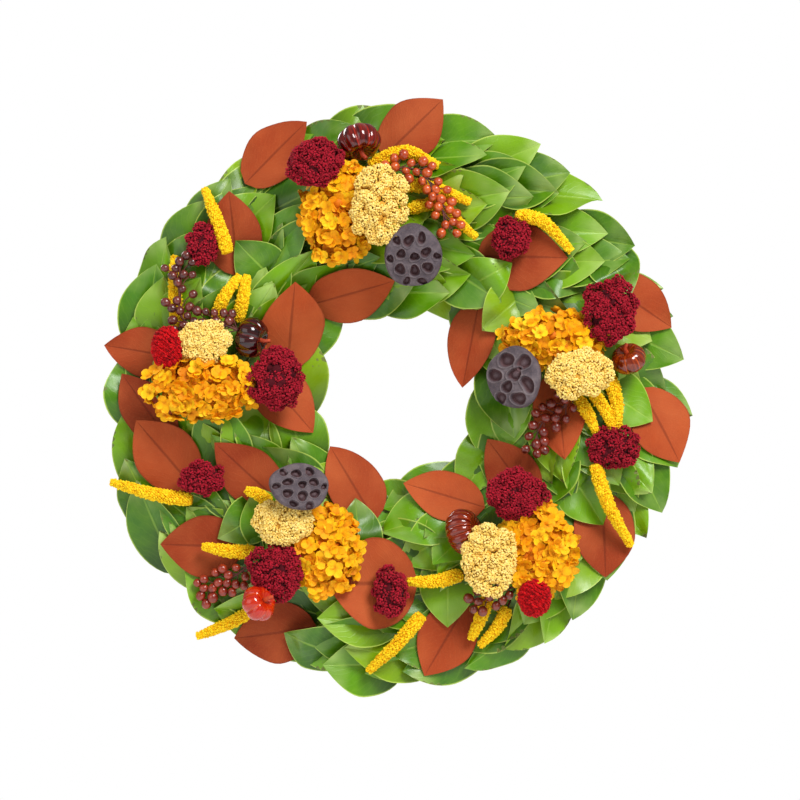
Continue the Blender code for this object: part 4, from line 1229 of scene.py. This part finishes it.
def spray(name):
    """A branched twig with berries at the ends of short stalks."""
    route, count, radius, spread, crowding, dark, light = SPRAYS[name]
    node = f"{name}_berries"
    middle, _ = head_space(node)
    path = np.array([on_front(x, z, 0.006) for x, z in route])
    path[:, 1] += middle[1] - path[:, 1].mean() - 0.005
    path = smooth_path(path, 30)
    along, side, up = path_frames(path)
    shape = Shape()
    add_tube(shape, path, np.linspace(TWIG_RADIUS, TWIG_TIP_RADIUS, len(path)), 7, 0.5, 1)
    placed = []
    for _ in range(count * 30):
        if len(placed) == count:
            break
        k = 3 + int((len(path) - 3) * RNG.random() ** crowding)
        offset = side[k] * RNG.uniform(-1, 1) * spread - up[k] * RNG.uniform(-0.2, 0.7) * spread * 0.6
        place = path[k] + offset + along[k] * 0.006
        place[1] = min(place[1], path[k][1] + 0.001)
        if any(np.linalg.norm(place - other) < BERRY_GAP * radius for other in placed):
            continue
        placed.append(place)
        cover.put(place[None] + np.array([[0, radius, 0]]), radius)
        out = unit(place - path[k])
        stalk = np.array([path[max(0, k - 2)], path[k] + offset * 0.4 + FRONT * 0.001, place])
        add_tube(shape, smooth_path(stalk, 7), STALK_RADIUS, 6, 0.5, 1)
        add_berry(shape, place, out, radius * RNG.uniform(0.85, 1.12))
    skin = berry_material(f"{name}_berry_skin", dark, light)
    shape.build(f"{node}_spray", [skin, TWIG], [node], "berry_copper")


# ---------------------------------------------------------------- back, hanger and stage

def dress_hardware():
    """The foam ring and the hanger keep their CAD shape and get their own surfaces."""
    wire = wire_material()
    for node, material in (("foam_form", foam_material()), ("hanger_staple", wire), ("hanger_loop", wire)):
        mesh = frame["nodes"][node].data
        mesh.materials.clear()
        mesh.materials.append(material)


def floor_material():
    """Matt, almost even white."""
    paint = Paint("floor_white", 0.9)
    return paint.finish(paint.ramp(paint.noise(2.0), (0.3, (250, 250, 250)), (0.7, (249, 249, 249))))


FLOOR_HALF = 3.4
FLOOR_LEVEL = -1.25
SOFT_LIGHT = 0.33
# Each light's place, its size and its power in watts.
LIGHTS = {
    "key": ((1.5, -2.7, 2.2), 1.6, 165.0),
    "fill": ((-1.9, -1.7, 0.2), 1.8, 15.0),
    "back": ((-2.7, 2.6, 1.6), 2.0, 90.0),
}


def lay_floor():
    """A wide pale floor well below the wreath."""
    mesh = bpy.data.meshes.new("floor")
    signs = ((-1, -1), (1, -1), (1, 1), (-1, 1))
    corners = [(x * FLOOR_HALF, y * FLOOR_HALF, FLOOR_LEVEL) for x, y in signs]
    mesh.from_pydata(corners, [], [(0, 1, 2, 3)])
    mesh.materials.append(floor_material())
    floor = bpy.data.objects.new("floor", mesh)
    bpy.context.scene.collection.objects.link(floor)


def set_world():
    """White surroundings that light the wreath only softly."""
    world = bpy.data.worlds.new("studio")
    world.use_nodes = True
    tree = world.node_tree
    background = tree.nodes["Background"]
    background.inputs["Color"].default_value = (1, 1, 1, 1)
    seen = tree.nodes.new("ShaderNodeMapRange")
    seen.inputs["To Min"].default_value = SOFT_LIGHT
    seen.inputs["To Max"].default_value = 1.0
    tree.links.new(tree.nodes.new("ShaderNodeLightPath").outputs["Is Camera Ray"], seen.inputs["Value"])
    tree.links.new(seen.outputs[0], background.inputs["Strength"])
    bpy.context.scene.world = world


def set_lights():
    """Wide studio lights aimed at the ring's centre."""
    for name, (place, size, power) in LIGHTS.items():
        data = bpy.data.lights.new(name, "AREA")
        data.size = size
        data.energy = power
        lamp = bpy.data.objects.new(name, data)
        lamp.location = place
        aim = np.array([0, 0, CENTRE_Z]) - np.array(place)
        tilt = math.acos(-aim[2] / np.linalg.norm(aim))
        lamp.rotation_euler = (tilt, 0, math.atan2(aim[1], aim[0]) - math.pi / 2)
        bpy.context.scene.collection.objects.link(lamp)


FRAME_WIDTH = 0.760
SENSOR = 36.0
CAMERA_DISTANCE = 2.6
FRAME_SHIFT = 0.00285


def set_camera():
    """A long lens square to the wreath's front, a little right of and below the ring's centre."""
    data = bpy.data.cameras.new("camera")
    data.sensor_width = SENSOR
    data.lens = SENSOR * CAMERA_DISTANCE / FRAME_WIDTH
    camera = bpy.data.objects.new("camera", data)
    camera.location = (FRAME_SHIFT, -CAMERA_DISTANCE - CROWN_FRONT, CENTRE_Z - FRAME_SHIFT)
    camera.rotation_euler = (math.pi / 2, 0, 0)
    bpy.context.scene.collection.objects.link(camera)
    bpy.context.scene.camera = camera


HEAD_MAKERS = dict(zip(HEAD_KINDS, (hydrangea, yarrow, crimson, celosia, lotus, fruit)))


def main():
    for name in SPRIGS:
        sprig(name)
        spray(name)
    for name in PICKS:
        pick(name)
    cover_heads()
    for node in HEAD_NODES:
        HEAD_MAKERS[node.rsplit("_", 1)[-1]](node)
    build_leaves()
    dress_hardware()
    lay_floor()
    set_world()
    set_lights()
    set_camera()
    bpy.context.scene.view_settings.view_transform = "Standard"


main()
